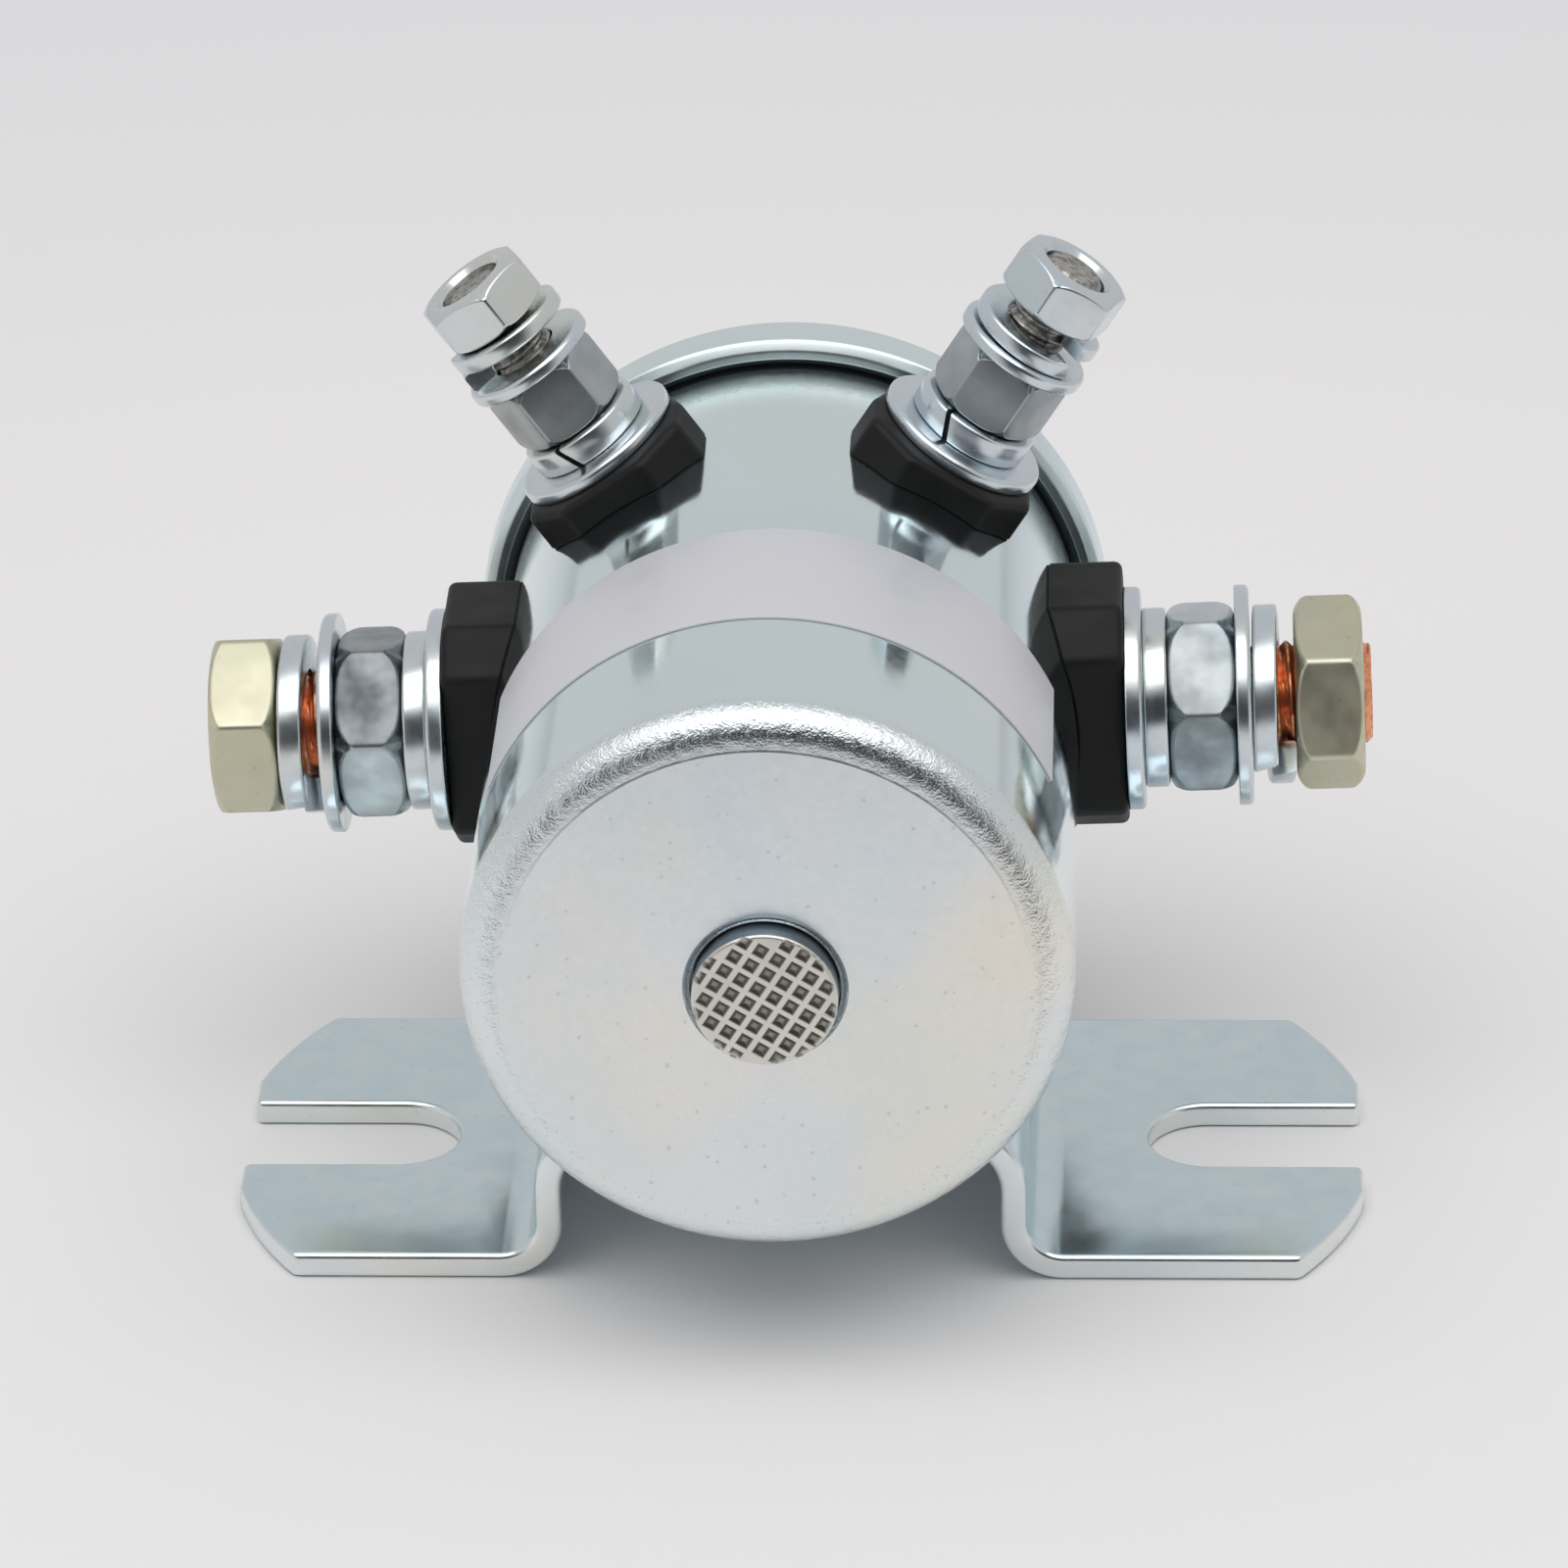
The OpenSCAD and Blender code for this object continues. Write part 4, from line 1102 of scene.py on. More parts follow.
@dataclass
class Casing:
    """The can, its crimped end cap and its label."""

    kit: Kit
    radius: float = 21.4
    wall: float = 1.5
    front: float = -32.0
    edge: float = 2.6
    step_r: float = 18.35
    hole_r: float = 5.25
    dish_r: float = 5.75
    dish_depth: float = 0.16
    rim_front: float = 24.0
    rim_back: float = 28.3
    rim_r: float = 23.6
    cap_t: float = 1.0
    lip_gap: float = 0.7
    lip_slant: tuple[float, float] = (0.8, 0.48)
    panel_r: float = 16.0
    panel_drop: float = 0.8
    label_start: float = -17.7
    label_w: float = 14.1
    label_t: float = 0.15
    label_middle_deg: float = 91.0
    label_span_deg: float = 134.0
    # Strength of the painted shade in the front hole's dish and bore and in the gap under the cap's lip.
    hole_shade: float = 0.38
    gap_shade: float = 0.85

    def build(self) -> None:
        """Builds the can, the cap and the label."""
        self.turned("can_shell", "can", rounded(self.can_profile(), steps=12), loop=True)
        self.turned("rear_cap", "end_cap", rounded(self.cap_profile(), closed=False, steps=8), loop=False)
        self.label()

    def turned(self, name: str, node: str, profile: Profile, loop: bool) -> None:
        """Turns a profile about the can's axis into a plated piece with its painted shade.

        Args:
            name: the piece's name.
            node: the node that it stands for.
            profile: its radius and place along the can.
            loop: whether the profile is a closed loop.
        """
        shape = lathe(profile, 256, loop)
        piece = put(name, shape, self.kit.along(0), self.kit.materials["can_zinc"])
        paint_shade(piece, self.painted_shade(shape[0]))
        stand_for(piece, HOUSING, "zinc_plate", node)

    def can_profile(self) -> list[tuple[float, float, float]]:
        """The drawn can's section, with its front hole, its bend and its rear flange.

        Returns:
            Each corner's radius, place along the can and rounding.
        """
        inner = self.radius - self.wall
        flange_y = self.rim_front + self.cap_t
        flange_r = self.rim_r - self.cap_t - 0.05
        burr_y = self.front + self.dish_depth - 0.12
        return [
            (self.hole_r, self.front + self.wall, 0.1),
            (self.hole_r, burr_y, 0.03),
            (self.hole_r + 0.06, burr_y, 0.02),
            (self.hole_r + 0.16, self.front + self.dish_depth, 0.03),
            (self.dish_r, self.front, 0.08),
            (self.step_r, self.front, 0.05),
            (self.step_r + 0.17, self.front + 0.03, 0.05),
            (self.radius, self.front + 0.13, self.edge),
            (self.radius, self.rim_front - 0.15, 0.0),
            (self.radius, self.rim_front + 0.1, 0.0),
            (self.radius, flange_y, 0.1),
            (flange_r, flange_y, 0.2),
            (flange_r, flange_y + self.wall, 0.2),
            (inner, flange_y + self.wall, 0.8),
            (inner, self.front + self.wall, self.edge - self.wall),
        ]

    def cap_profile(self) -> list[tuple[float, float, float]]:
        """The end cap's section: a sunk panel, a skirt and a slanted lip.

        Returns:
            Each corner's radius, place along the can and rounding.
        """
        lip_in = self.radius + self.lip_gap
        inside = self.rim_r - self.cap_t
        back = self.rim_back - self.cap_t
        panel = self.rim_back - self.panel_drop
        across, along = self.lip_slant
        return [
            (1.0, panel, 0.0),
            (self.panel_r, panel, 0.3),
            (self.panel_r + 0.5, self.rim_back, 0.5),
            (self.rim_r, self.rim_back, 1.0),
            (self.rim_r, self.rim_front + along, 0.5),
            (self.rim_r - across, self.rim_front, 0.5),
            (lip_in, self.rim_front, 0.15),
            (lip_in, self.rim_front + self.cap_t, 0.1),
            (inside, self.rim_front + self.cap_t, 0.0),
            (inside, back, 0.3),
            (self.panel_r + self.cap_t, back, 0.3),
            (self.panel_r + self.cap_t, panel - self.cap_t, 0.3),
            (1.0, panel - self.cap_t, 0.0),
        ]

    def painted_shade(self, points: np.ndarray) -> np.ndarray:
        """Measures the painted shade in the front hole's dish and bore and in the gap under the cap's lip.

        Args:
            points: places about the can's axis.

        Returns:
            The share of painted shade at each of them.
        """
        radius, along = np.hypot(points[:, 0], points[:, 1]), points[:, 2]
        # Painted shade where shade falls: round the front hole and in the crimp's gap.
        dish = np.clip((self.dish_r - 0.02 - radius) / 0.15, 0, 1) * (along < self.front + 1)
        bore = (radius < self.hole_r + 0.02) * (along < self.front + 1.6)
        behind = np.clip((along - self.rim_front + 0.15) / 0.25, 0, 1) * (along < self.rim_front + 1.3)
        gap = behind * np.clip((self.radius + self.lip_gap + 0.2 - radius) / 0.15, 0, 1)
        return np.maximum(self.hole_shade * np.maximum(dish, bore), self.gap_shade * gap)

    def label(self) -> None:
        """The plain label band on the barrel."""
        inner = self.radius + 0.02
        outer = inner + self.label_t
        end = self.label_start + self.label_w
        corners = [(inner, self.label_start, 0.0), (outer, self.label_start, 0.05), (outer, end, 0.05)]
        section = rounded([*corners, (inner, end, 0.0)], steps=3)
        half = self.label_span_deg / 2
        angles = np.radians(np.linspace(self.label_middle_deg - half, self.label_middle_deg + half, 121))
        rings = [np.array([(r * math.cos(a), y, r * math.sin(a)) for r, y in section]) for a in angles]
        placing = Matrix.Translation((self.kit.axis_x, 0, self.kit.axis_z))
        piece = put("label_band", loft(rings, loop=False), placing, self.kit.materials["silver_label"])
        stand_for(piece, HOUSING, "silver_label", "label")


@dataclass
class Bracket:
    """The folded mounting bracket, one sheet with a saddle, two webs and two slotted feet."""

    kit: Kit
    sheet: float = 2.0
    depth: float = 35.4
    reach: float = 41.3
    tip_half: float = 8.0
    tip_back: float = 4.8
    slot_w: float = 8.9
    slot_end: float = 25.6
    web_in: float = 15.8
    foot_bend_r: float = 2.6
    top_bend_r: float = 6.0
    saddle_r: float = 21.42
    edge: float = 0.45
    flat_from: float = 21.0

    def upper_path(self) -> Profile:
        """The sheet's upper surface from the saddle's middle to the right foot, about the can's axis.

        Returns:
            The path's points, across and up.
        """
        height = self.kit.axis_z
        web_out = self.web_in + self.sheet
        bend_x = web_out - self.top_bend_r
        bend_z = height - math.sqrt((self.saddle_r + self.top_bend_r) ** 2 - bend_x**2)
        lean = math.atan2(height - bend_z, -bend_x)
        foot = (web_out + self.foot_bend_r, self.foot_bend_r + self.sheet)
        path = arc((0, height), self.saddle_r, math.radians(270), math.pi + lean, 14)
        path += arc((bend_x, bend_z), self.top_bend_r, lean, 0, 18)[1:]
        return path + arc(foot, self.foot_bend_r, math.pi, math.radians(270), 12)

    def lower_path(self) -> Profile:
        """The sheet's lower surface, point for point under its upper path.

        Returns:
            The path's points, across and up.
        """
        upper = self.upper_path()
        tangent = np.gradient(np.array(upper), axis=0)
        tangent[0] = tangent[-1] = (1.0, 0.0)
        lower = []
        for (x, z), (along, up) in zip(upper, tangent, strict=True):
            length = math.hypot(along, up)
            lower.append((x + up / length * self.sheet, z - along / length * self.sheet))
        return lower

    def foot_outline(self) -> Profile:
        """The right foot's outline in plan, from its rear edge round the tip and slot to its front edge.

        Returns:
            The outline's points, across and along the can.
        """
        half = self.depth / 2
        side = self.reach - self.tip_back
        middle = (self.reach**2 + self.tip_half**2 - side**2 - half**2) / (2 * self.tip_back)
        radius = math.hypot(self.reach - middle, self.tip_half)
        high = math.atan2(half, side - middle)
        low = math.atan2(self.tip_half, self.reach - middle)
        slot_r = self.slot_w / 2
        corner = arc((middle, 0), radius, high, low, 10)
        slot = arc((self.slot_end + slot_r, 0), slot_r, math.radians(90), math.radians(270), 24)
        mirrored = [(x, -y) for x, y in reversed(corner)]
        return [*corner, (self.reach, slot_r), *slot, (self.reach, -slot_r), *mirrored]

    def surface(self, path: Profile, level: float) -> tuple[list[Point], list[list[int]]]:
        """One side of the sheet: the folded strip and both feet.

        Args:
            path: the side view of its right half.
            level: the height of the feet's surface.

        Returns:
            Its points, and its faces with their normals on the upper side.
        """
        half = self.depth / 2
        whole = [(-x, z) for x, z in reversed(path)] + path[1:]
        points = [(x + self.kit.axis_x, y, z) for x, z in whole for y in (half, -half)]
        faces = [[2 * i, 2 * i + 1, 2 * i + 3, 2 * i + 2] for i in range(len(whole) - 1)]
        outline = self.foot_outline()
        last = 2 * len(whole) - 2
        for way in (1, -1):
            new = list(range(len(points), len(points) + len(outline)))
            points += [(way * x, y, level) for x, y in outline]
            faces.append([last + 1, *reversed(new), last] if way > 0 else [0, *new, 1])
        return points, faces

    def build(self) -> None:
        """Builds the sheet with its thickness and eases its edges."""
        upper, faces = self.surface(self.upper_path(), self.sheet)
        lower, _ = self.surface(self.lower_path(), 0.0)
        count = len(upper)
        edges = {(f[i], f[(i + 1) % len(f)]) for f in faces for i in range(len(f))}
        walls = [[b, a, a + count, b + count] for a, b in edges if (b, a) not in edges]
        under = [[i + count for i in reversed(f)] for f in faces]
        shape = (np.array(upper + lower), faces + under + sorted(walls))
        piece = put("folded_bracket", shape, Matrix.Identity(4), self.kit.materials["sheet_zinc"])
        easing = piece.modifiers.new("easing", "BEVEL")
        easing.width = self.edge * MM
        easing.segments = 3
        easing.limit_method = "ANGLE"
        easing.angle_limit = math.radians(50)
        settle(piece)
        smooth(piece, SHARP_DEG)
        # Painted highlight: the cut edges stay bright while the faces take the darker shade colour.
        paint_shade(piece, self.painted_edge_highlight(piece.data))
        stand_for(piece, HOUSING, "zinc_plate", "bracket")

    def painted_edge_highlight(self, mesh: bpy.types.Mesh) -> np.ndarray:
        """Tells the sheet's faces from its cut edges, which stay bright as a painted highlight.

        Args:
            mesh: the sheet.

        Returns:
            The share of painted shade at each point: 1 on the surfaces and 0 at the cut edges, which keep the
                painted highlight.
        """
        share = np.ones(len(mesh.vertices))
        for face in mesh.polygons:
            on_foot = abs(face.center.x / MM - self.kit.axis_x) > self.flat_from
            if abs(face.normal.y) > 0.8 or (on_foot and abs(face.normal.z) < 0.3):
                share[list(face.vertices)] = 0
        return share


@dataclass(frozen=True)
class StudSizes:
    """The sizes that differ between the main and the control terminals."""

    prefix: str
    y: float
    stud_r: float
    pitch: float
    flats: float
    nut_face: float
    clamp_t: float
    nut_t: float
    seat_d: float
    seat_t: float
    lock_d: float
    clamp_lock_t: float
    lock_t: float
    lug_d: float
    lug_t: float
    lug_room: float
    face_r: float
    block_edge: float
    block_w: float
    block_len: float
    block_up: float
    block_back: float
    cut_w: float
    front_cut: float
    rear_cut: float
    collar_r: float
    stud_slot: str
    stud_finish: str
    nut_slot: str


MAIN = StudSizes(
    prefix="main", y=10.6, stud_r=3.9, pitch=1.06, flats=12.7, nut_face=0.474, clamp_t=5.0, nut_t=5.0,
    seat_d=16.4, seat_t=1.3, lock_d=13.2, clamp_lock_t=1.8, lock_t=1.8, lug_d=16.2, lug_t=1.1, lug_room=3.2,
    face_r=24.9, block_edge=1.2, block_w=17.9, block_len=14.4, block_up=0.0, block_back=1.0, cut_w=2.6,
    front_cut=3.4, rear_cut=3.4, collar_r=5.3, stud_slot="copper_stud", stud_finish="copper_stud",
    nut_slot="olive_zinc",
)
CONTROL = StudSizes(
    prefix="control", y=14.7, stud_r=2.4, pitch=0.79, flats=7.9, nut_face=0.455, clamp_t=5.3, nut_t=3.75,
    seat_d=12.8, seat_t=1.0, lock_d=9.2, clamp_lock_t=2.05, lock_t=1.3, lug_d=10.0, lug_t=1.0, lug_room=3.1,
    face_r=23.65, block_edge=1.1, block_w=13.5, block_len=15.0, block_up=0.4, block_back=0.0, cut_w=3.3,
    front_cut=3.0, rear_cut=8.2, collar_r=3.5, stud_slot="zinc_plate", stud_finish="worn_steel",
    nut_slot="zinc_plate",
)


@dataclass
class Terminal:
    """One terminal: a stud with its insulator, washers and nuts, stacked outwards."""

    kit: Kit
    sizes: StudSizes
    side: Side
    angle: float
    clamp_turn: float
    nut_turn: float
    split_turn: float
    loose_turn: float
    stud_out: float
    # Each clamp nut facet's share of painted shade, in order round the nut.
    facet_shade: tuple[float, ...]
    can_r: float = 21.4
    split: float = 0.3
    clearance: float = 0.12
    washer_edge: float = 0.25
    slant_deg: float = 20.0
    block_ease: float = 0.6
    stud_start: float = 18.0
    thread_sharp_deg: float = 50.0
    place: Matrix = field(init=False)

    def __post_init__(self) -> None:
        """Works out where the stud lies."""
        self.place = self.kit.on_stud(self.angle, self.sizes.y)

    def node(self, piece: str) -> str:
        """Gives a node's name from the piece's own name."""
        return f"{self.sizes.prefix}_{piece}_{self.side.value}"

    def at(self, height: float, turn: float = 0.0, flip: bool = False) -> Matrix:
        """Places a piece at a distance from the can's axis, turned about the stud.

        Args:
            height: the distance from the can's axis.
            turn: the turn about the stud, in degrees.
            flip: whether the piece's own z axis points inwards.

        Returns:
            The placing matrix.
        """
        placed = self.place @ Matrix.Translation((0, 0, height)) @ Matrix.Rotation(math.radians(turn), 4, "Z")
        return placed @ Matrix.Rotation(math.pi, 4, "X") if flip else placed

    def add(self, piece: str, shape: Shape, placing: Matrix, slot: str) -> Piece:
        """Makes one piece in the place of its node.

        Args:
            piece: the node's own name.
            shape: its points and faces.
            placing: where it lies.
            slot: its material slot.

        Returns:
            The piece.
        """
        made = put(f"{self.node(piece)}_piece", shape, placing, self.kit.materials[slot])
        stand_for(made, HOUSING, slot, self.node(piece))
        return made

    def build(self) -> None:
        """Builds the whole stack from the can outwards."""
        s = self.sizes
        self.insulator()
        level = s.face_r
        self.add("seat_washer", self.washer(s.seat_d, s.seat_t), self.at(level), "zinc_plate")
        level += s.seat_t
        self.pressed_washer(level)
        level += s.clamp_lock_t
        clamp = self.nut(s.clamp_t, 0.055)
        piece = self.add("clamp_nut", clamp, self.at(level, self.clamp_turn), "zinc_plate")
        # Painted shade, facet by facet: each facet of the clamp nut is darkened by its share.
        facet = np.floor(np.degrees(np.arctan2(clamp[0][:, 1], clamp[0][:, 0])) / 60).astype(int) % 6
        paint_shade(piece, np.array(self.facet_shade, float)[facet])
        level += s.clamp_t
        self.add("lug_washer", self.washer(s.lug_d, s.lug_t), self.at(level), "zinc_plate")
        level += s.lug_t
        self.loose_washer(level)
        level += s.lug_room
        self.add("terminal_nut", self.nut(s.nut_t, 0.02), self.at(level, self.nut_turn), s.nut_slot)
        self.stud(level + s.nut_t + self.stud_out)

    def washer(self, diameter: float, thickness: float) -> Shape:
        """A punched washer with a rounded upper edge.

        Args:
            diameter: its outer diameter.
            thickness: its thickness.

        Returns:
            The points and the faces.
        """
        hole, outer = self.sizes.stud_r + self.clearance, diameter / 2
        corners = [(hole, 0, 0.08), (outer, 0, 0.15), (outer, thickness, 0.4), (hole, thickness, 0.15)]
        return lathe(rounded(corners, steps=5), 128)

    def nut(self, thickness: float, cut: float) -> Shape:
        """A hexagon nut, bevelled on both faces.

        Args:
            thickness: its thickness.
            cut: how far its corners are worn down further, as a share of its flats.

        Returns:
            The points and the faces.
        """
        flats = self.sizes.flats
        corner = flats / 2 / math.cos(math.radians(30))
        turns = [math.radians(a) for a in range(0, 360, 60)]
        corners = [(corner * math.cos(a), corner * math.sin(a)) for a in turns]
        angles = directions(corners)
        reach = outline_radius(corners, 0.04 * flats, angles)
        bore, sink = self.sizes.stud_r + 0.06, 0.4
        flat_r = flats * self.sizes.nut_face
        slope = math.tan(math.radians(24))
        ease = 0.02 * flats
        at_corner = (reach - reach.min()) / (reach.max() - reach.min())
        fall = (reach - flat_r) * slope + cut * flats * at_corner**3
        steps = [
            (bore, sink),
            (bore + sink, 0.0),
            (flat_r - 0.15, 0.0),
            (flat_r + 0.15, 0.15 * slope),
            (reach - ease, fall - ease * slope),
            (reach - ease * 0.35, fall - ease * 0.05),
            (reach - ease * 0.08, fall + ease * 0.4),
            (reach, fall + ease),
        ]
        lower = [ring_at(angles, r, z) for r, z in steps]
        upper = [ring_at(angles, r, thickness - z) for r, z in reversed(steps)]
        return loft(lower + upper, loop=True)

    def insulator(self) -> None:
        """The moulded block between the can and the washers."""
        s = self.sizes
        w, l = s.block_w / 2, s.block_len / 2
        rear, narrow = l - s.rear_cut, w - s.cut_w
        right = [(w, -l + s.front_cut), (w, rear), (narrow, l)]
        left = [(-narrow, l), (-w, rear), (-w, -l + s.front_cut)]
        up = s.block_up if self.side is Side.LEFT else -s.block_up
        outline = [*right, *left, (-narrow, -l), (narrow, -l)]
        corners = [(x + up, y + s.block_back) for x, y in outline]
        angles = directions(corners, even=120)
        reach = outline_radius(corners, s.block_edge, angles)
        hole, collar, floor = s.stud_r + self.clearance, s.collar_r + 0.1, self.can_r + 0.7
        inset, rise, ease = 0.12, 0.14, self.block_ease
        rims = [collar * (1 - share) + (reach - inset) * share for share in (0.25, 0.5, 0.75, 1.0)]
        rings = [ring_at(angles, rim, self.can_surface(angles, rim)) for rim in (collar, *rims)]
        rings.append(ring_at(angles, reach, self.can_surface(angles, reach) + rise))
        for turn in np.radians(np.linspace(0, 90, 5)):
            level = s.face_r - ease * (1 - math.sin(turn))
            rings.append(ring_at(angles, reach - ease * (1 - math.cos(turn)), level))
        rings += [ring_at(angles, r, z) for r, z in ((hole, s.face_r), (hole, floor), (collar, floor))]
        self.add("insulator", loft(rings, loop=True), self.place, "black_moulding")

    def can_surface(self, angles: np.ndarray, radius: np.ndarray | float) -> np.ndarray:
        """Height of the can's surface above its axis, under points round the stud."""
        return np.sqrt((self.can_r + 0.02) ** 2 - (radius * np.cos(angles)) ** 2)

    def spring_washer(self, piece: str, placing: Matrix, thickness: float, rise: float, turns: float) -> None:
        """A left-hand split spring washer.

        Args:
            piece: the node's own name.
            placing: where the middle of its lower end lies.
            thickness: its thickness.
            rise: how far it is sprung open.
            turns: how far it goes round.
        """
        hole = self.sizes.stud_r + self.clearance
        width = self.sizes.lock_d / 2 - hole
        radius = (hole + width / 2) * MM
        slant = -math.tan(math.radians(self.slant_deg)) / radius
        path = {"Radius": radius, "Turns": turns, "Rise": rise * MM, "Bend": 2.0, "Hand": -1.0, "Steps": 96}
        section = {"Width": width * MM, "Thickness": thickness * MM, "Edge": self.washer_edge * MM}
        look = {"Slant": slant, "Finish": self.kit.materials["zinc_plate"]}
        shapes = self.kit.shapes
        made = shapes.make(shapes.coil, f"{self.node(piece)}_piece", path | section | look, placing)
        stand_for(made, HOUSING, "zinc_plate", self.node(piece))

    def pressed_washer(self, level: float) -> None:
        """The spring washer that the inner nut holds flat, with a narrow split.

        Args:
            level: its lower face's distance from the can's axis.
        """
        s = self.sizes
        share = self.split / (math.pi * (s.stud_r + s.lock_d / 2))
        placing = self.at(level + s.clamp_lock_t / 2, self.split_turn - 180 * share)
        self.spring_washer("clamp_spring_washer", placing, s.clamp_lock_t - 0.02, 0.0, 1 - share)

    def loose_washer(self, level: float) -> None:
        """The sprung-open washer: against its nut on the left, on the lug washer on the right.

        Args:
            level: the lug washer's upper face's distance from the can's axis.
        """
        s = self.sizes
        inset = s.lock_t / 2 + 0.02
        left = self.side is Side.LEFT
        placing = self.at(level + (s.lug_room - inset if left else inset), self.loose_turn, flip=left)
        self.spring_washer("spring_washer", placing, s.lock_t, s.lug_room - s.lock_t - 0.06, 0.97)

    def stud(self, end: float) -> None:
        """The threaded stud with its head inside the can.

        Args:
            end: the tip's distance from the can's axis.
        """
        s = self.sizes
        length = end - self.stud_start
        rows = int(length / s.pitch * 8)
        sizes = {"Radius": s.stud_r, "Length": length, "Pitch": s.pitch, "Depth": 0.45 * s.pitch, "Tip": 0.5}
        values = {key: size * MM for key, size in sizes.items()}
        values |= {"Rows": rows, "Finish": self.kit.materials[s.stud_finish]}
        name, shapes = self.node("stud"), self.kit.shapes
        placing = self.at(self.stud_start + length / 2)
        made = shapes.make(shapes.thread, f"{name}_piece", values, placing, self.thread_sharp_deg)
        head = self.head()
        joined = bmesh.new()
        joined.from_mesh(made.data)
        joined.from_mesh(head.data)
        joined.to_mesh(made.data)
        joined.free()
        bpy.data.objects.remove(head)
        stand_for(made, HOUSING, s.stud_slot, name)

    def head(self) -> Piece:
        """The stud's head: a contact block on a main stud, a round head on a control stud.

        Returns:
            The head's object.
        """
        name, material = self.node("head"), self.kit.materials[self.sizes.stud_slot]
        if self.sizes.prefix == "control":
            middle_r, head_r, t = 0.5, 3.5, 2.2
            profile = [(middle_r, 0.0), (head_r, 0.0), (head_r, t), (middle_r, t)]
            return put(name, lathe(profile, 64, loop=False), self.at(16.2), material)
        w, l, t, ease = 6.5, 4.2, 5.45, 0.3
        block = rounded([(-w, -l, 0.5), (w, -l, 0.5), (w, l, 0.5), (-w, l, 0.5)], steps=4)
        inset = [(x * (1 - ease / w), y * (1 - ease / l)) for x, y in block]
        levels = ((inset, 0), (block, ease), (block, t - ease), (inset, t))
        rings = [np.array([(x, y, z) for x, y in outline]) for outline, z in levels]
        return put(name, loft(rings, loop=False), self.at(12.5), material)


@dataclass
class Works:
    """The core with its struck end, and the springs as wire; what else the can holds keeps its solids."""

    kit: Kit
    core_r: float = 6.6
    core_front: float = -30.5
    core_end: float = -13.1
    pocket_r: float = 3.3
    pocket_depth: float = 4.0
    rivet_r: float = 5.08
    rivet_front: float = -33.7
    rivet_edge: float = 0.2
    pit_spacing: float = 1.33
    pit_width: float = 1.02
    pit_depth: float = 0.21
    pit_floor: float = 0.32
    pit_rows: int = 9
    pit_turn: float = 32.0
    pit_shift: tuple[float, float] = (0.34, 0.41)
    sharp_deg: float = 30.0

    def build(self) -> None:
        """Builds the core, and the two coil springs."""
        self.core()
        sizes = {"wire_r": 0.4, "turns": 6.0, "shorter": 3.0}
        self.spring("return_spring", HOUSING, "plunger_slide", **sizes, from_rear=False)
        sizes = {"wire_r": 0.3, "turns": 2.5, "shorter": 0.81}
        self.spring("contact_spring", "plunger_rod", "contact_lag", **sizes, from_rear=True)

    def core(self) -> None:
        """The fixed core, whose riveted end is struck with rows of pits."""
        front, shoulder, end = -self.rivet_front, -self.core_front, -self.core_end
        floor = end + self.pocket_depth
        corners = [(0.05, front, 0.0), (self.rivet_r, front, self.rivet_edge), (self.rivet_r, shoulder, 0.0)]
        corners += [(self.core_r, shoulder, 0.2), (self.core_r, end, 0.3), (self.pocket_r, end, 0.2)]
        corners += [(self.pocket_r, floor, 0.2), (0.05, floor, 0.0)]
        iron, shapes = self.kit.materials["soft_iron"], self.kit.shapes
        shape = lathe(rounded(corners, closed=False), 128, loop=False)
        piece = put("struck_core", shape, Matrix.Identity(4), iron)
        sizes = {
            "Face Height": front,
            "Spacing": self.pit_spacing,
            "Pit Width": self.pit_width,
            "Pit Depth": self.pit_depth,
            "Shift X": self.pit_shift[0] * self.pit_spacing,
            "Shift Y": self.pit_shift[1] * self.pit_spacing,
            "Reach": self.rivet_r - 0.1,
        }
        values = {key: size * MM for key, size in sizes.items()}
        values |= {"Floor Share": self.pit_floor, "Rows": self.pit_rows, "Turn": math.radians(-self.pit_turn)}
        placing = self.kit.along(0) @ Matrix.Rotation(math.pi, 4, "X")
        shapes.run(piece, shapes.struck, values | {"Finish": iron}, placing)
        smooth(piece, self.sharp_deg)
        stand_for(piece, HOUSING, "soft_iron", "fixed_core")

    def spring(
        self, node: str, body: str, joint: str, wire_r: float, turns: float, shorter: float, from_rear: bool
    ) -> None:
        """A round-wire coil spring that fills its solid's place.

        Args:
            node: the solid's node.
            body: the body that one end rides on.
            joint: the joint that shortens it; not used.
            wire_r: radius of the wire.
            turns: number of turns.
            shorter: how much the joint's full travel shortens it; not used.
            from_rear: whether its rear end is the one that rides; not used.
        """
        low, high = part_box(node)
        length = (high.y - low.y) / MM
        outer = (high.x - low.x) / MM / 2
        thick = 2 * wire_r * MM
        path = {"Radius": (outer - wire_r) * MM, "Turns": turns, "Rise": length * MM - thick, "Bend": 1.0}
        section = {"Width": thick, "Thickness": thick, "Edge": 0.98 * wire_r * MM, "Steps": int(28 * turns)}
        look = {"Hand": 1.0, "Slant": 0.0, "Finish": self.kit.materials["spring_steel"]}
        placing = self.kit.along(low.y / MM + wire_r)
        made = self.kit.shapes.make(self.kit.shapes.coil, f"{node}_wire", path | section | look, placing)
        stand_for(made, body, "spring_steel", node)
        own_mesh(made)


# Studio


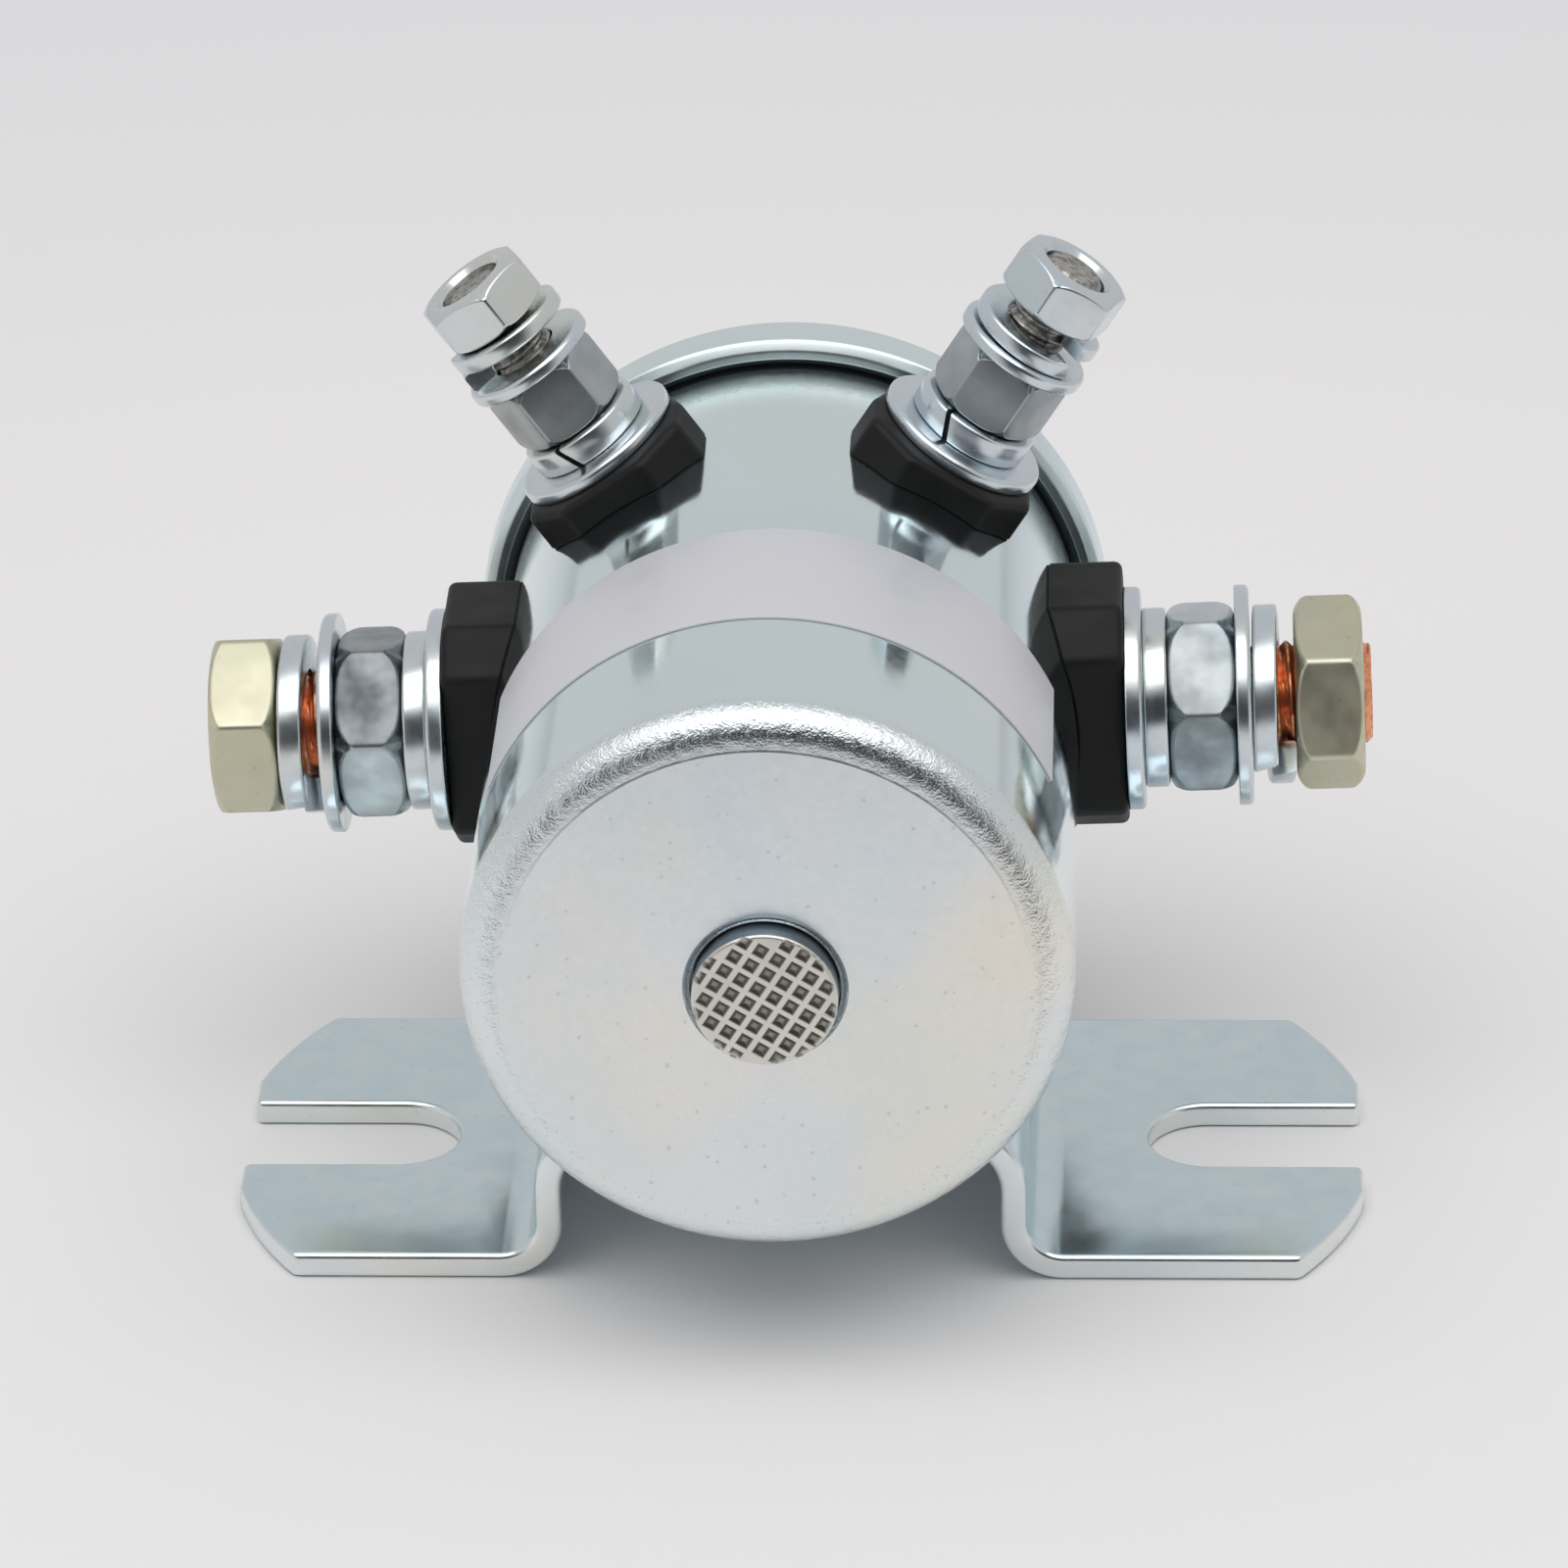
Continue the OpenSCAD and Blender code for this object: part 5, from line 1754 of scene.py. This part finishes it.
@dataclass(frozen=True)
class Studio:
    """Floor, light and camera."""

    paper: str = "edebeb"
    # The paper fades to this darker, cooler tone away from the object, a painted falloff of light.
    far_paper_shade: str = "e4e5e8"
    room: str = "cfcfd0"
    gloom: str = "3c3c3f"
    floor_half: float = 3.0
    paper_fade: tuple[float, float] = (0.14, 0.34)
    gloom_from: tuple[float, float] = (0.13, 0.27)
    gloom_up_to: tuple[float, float] = (0.45, 0.68)
    front_way: Point = (0.14, -0.99, 0.0)
    front_edge: tuple[float, float] = (0.64, 0.9)
    lamp_radiance: float = 1.4
    lamp_size: tuple[float, float] = (1.8, 1.25)
    lamp_place: Point = (0.0, -0.6, 1.15)
    lens_mm: float = 180.35
    sensor_mm: float = 36.0
    eye_mm: Point = (23.05, -505.19, 294.51)
    pitch_deg: float = 27.497
    yaw_deg: float = -2.718
    roll_deg: float = -1.217

    def build(self) -> None:
        """Sets the floor, the lamp, the world and the camera."""
        bpy.context.scene.view_settings.view_transform = "Standard"
        sector = self.front_sector()
        self.floor(sector)
        self.world(sector)
        self.softbox()
        self.camera()

    def front_sector(self) -> Tree:
        """The directions towards the camera's side of the room.

        Returns:
            A group that gives how far a direction lies in that sector, from 0 to 1.
        """
        g = Group("front_sector", {"Direction": (0.0, -1.0, 0.0)}, {"Mask": 0.0})
        flat = g.vector("NORMALIZE", g.vector("MULTIPLY", g["Direction"], (1.0, 1.0, 0.0)))
        towards = g.vector("DOT_PRODUCT", flat, self.front_way, output="Value")
        return g.give(Mask=g.spread(towards, *self.front_edge))

    @staticmethod
    def unseen(g: Graph, sector: Tree, way: Value, share: Value) -> Value:
        """Tells what is dark in reflections alone.

        Args:
            g: the graph of the floor or the room.
            sector: the group for the camera's side of the room.
            way: the direction from the object.
            share: how dark it may be there.

        Returns:
            How dark it is, and 0 to the camera itself.
        """
        front = g.out("ShaderNodeGroup", 0, {0: way}, node_tree=sector)
        return front * share * (1.0 - g.out("ShaderNodeLightPath", "Is Camera Ray"))

    def floor(self, sector: Tree) -> None:
        """A wide pale floor under the feet, whose far front shows dark in reflections alone.

        Args:
            sector: the group for the camera's side of the room.
        """
        half = self.floor_half
        corners = [(-half, -half, 0), (half, -half, 0), (half, half, 0), (-half, half, 0)]
        mesh = bpy.data.meshes.new("floor")
        mesh.from_pydata(corners, [], [(0, 1, 2, 3)])
        material = bpy.data.materials.new("floor_paper")
        material.use_nodes = True
        g = Graph(material.node_tree)
        shader = g.tree.nodes["Principled BSDF"]
        where = g.where()
        away = g.vector("LENGTH", where, output="Value")
        dark = self.unseen(g, sector, where, g.spread(away, *self.gloom_from))
        # Painted shade: the paper darkens and cools with distance from the object.
        paper = g.blend(g.spread(away, *self.paper_fade), colour(self.paper), colour(self.far_paper_shade))
        g.feed(shader.inputs["Base Color"], g.blend(dark, paper, colour(self.gloom)))
        g.feed(shader.inputs["Roughness"], 0.8)
        g.feed(shader.inputs["Specular IOR Level"], 0.1)
        mesh.materials.append(material)
        piece = bpy.data.objects.new("floor", mesh)
        bpy.context.scene.collection.objects.link(piece)

    def world(self, sector: Tree) -> None:
        """A pale room that is dark low on the camera's side, except to the camera itself.

        Args:
            sector: the group for the camera's side of the room.
        """
        world = bpy.data.worlds.new("room")
        bpy.context.scene.world = world
        world.use_nodes = True
        world.node_tree.nodes.clear()
        g = Graph(world.node_tree)
        way = g.vector("NORMALIZE", g.out("ShaderNodeTexCoord", "Generated"))
        dark = self.unseen(g, sector, way, g.spread(g.split(way)[2], *self.gloom_up_to, 1.0, 0.0))
        shade = g.blend(dark, colour(self.room), colour(self.gloom))
        background = g.out("ShaderNodeBackground", 0, {"Color": shade, "Strength": 1.0})
        g.node("ShaderNodeOutputWorld", {0: background})

    def softbox(self) -> None:
        """The large lamp overhead, in front of the object."""
        lamp = bpy.data.lights.new("overhead", "AREA")
        lamp.shape = "RECTANGLE"
        lamp.size, lamp.size_y = self.lamp_size
        lamp.energy = self.lamp_radiance * math.pi * lamp.size * lamp.size_y
        piece = bpy.data.objects.new("overhead", lamp)
        piece.location = self.lamp_place
        bpy.context.scene.collection.objects.link(piece)

    def camera(self) -> None:
        """The photograph's camera."""
        yaw, pitch, roll = (math.radians(v) for v in (self.yaw_deg, self.pitch_deg, self.roll_deg))
        ahead = Vector((math.sin(yaw) * math.cos(pitch), math.cos(yaw) * math.cos(pitch), -math.sin(pitch)))
        level = Vector((math.cos(yaw), -math.sin(yaw), 0))
        above = level.cross(ahead)
        right = math.cos(roll) * level + math.sin(roll) * above
        up = -math.sin(roll) * level + math.cos(roll) * above
        data = bpy.data.cameras.new("camera")
        data.lens, data.sensor_width = self.lens_mm, self.sensor_mm
        data.clip_start, data.clip_end = 0.01, 20
        piece = bpy.data.objects.new("camera", data)
        turn = Matrix((right, up, -ahead)).transposed().to_4x4()
        piece.matrix_world = Matrix.Translation(Vector(self.eye_mm) * MM) @ turn
        bpy.context.scene.collection.objects.link(piece)
        bpy.context.scene.camera = piece


def dress_solids(frame: dict, materials: dict[str, Material]) -> None:
    """Gives every solid that stays visible its finish.

    Args:
        materials: the object's materials.
    """
    for part in frame["record"]["subparts"]:
        slots = frame["nodes"][part["node"]].data.materials
        slots.clear()
        slots.append(materials[part["material_slot"]])


def terminals(kit: Kit) -> list[Terminal]:
    """Lists the four terminals with the angles that the photograph shows.

    Args:
        kit: what every sub-assembly needs.

    Returns:
        The terminals.
    """
    return [
        # The last tuple of each terminal gives its clamp nut's facets their painted shade.
        Terminal(
            kit, MAIN, Side.LEFT, angle=182.0, clamp_turn=42.0, nut_turn=56.0, split_turn=60.0,
            loose_turn=225.0, stud_out=-0.3, facet_shade=(0.2, 0.1, 0.1, 0.5, 1.0, 0.7),
        ),
        Terminal(
            kit, MAIN, Side.RIGHT, angle=2.0, clamp_turn=15.0, nut_turn=45.0, split_turn=110.0,
            loose_turn=300.0, stud_out=0.6, facet_shade=(0.3, 0.2, 0.25, 0.7, 0.8, 0.4),
        ),
        Terminal(
            kit, CONTROL, Side.LEFT, angle=125.0, clamp_turn=12.0, nut_turn=50.0, split_turn=258.0,
            loose_turn=205.0, stud_out=-0.6, facet_shade=(0.45, 0.3, 0.5, 0.6, 0.7, 0.5),
        ),
        Terminal(
            kit, CONTROL, Side.RIGHT, angle=57.5, clamp_turn=48.0, nut_turn=9.0, split_turn=240.0,
            loose_turn=310.0, stud_out=-0.1, facet_shade=(0.5,) * 6,
        ),
    ]


def main() -> None:
    """Builds the whole object around its frame."""
    logging.basicConfig(level=logging.INFO, format="%(name)s: %(message)s")
    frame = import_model()
    effects = SurfaceEffects()
    materials = {key: finish.build(effects) for key, finish in FINISHES.items()}
    dress_solids(frame, materials)
    Studio().build()
    kit = Kit(materials, RepeatingShapes())
    for assembly in (Casing(kit), Bracket(kit), *terminals(kit), Works(kit)):
        assembly.build()


if __name__ == "__main__":
    main()
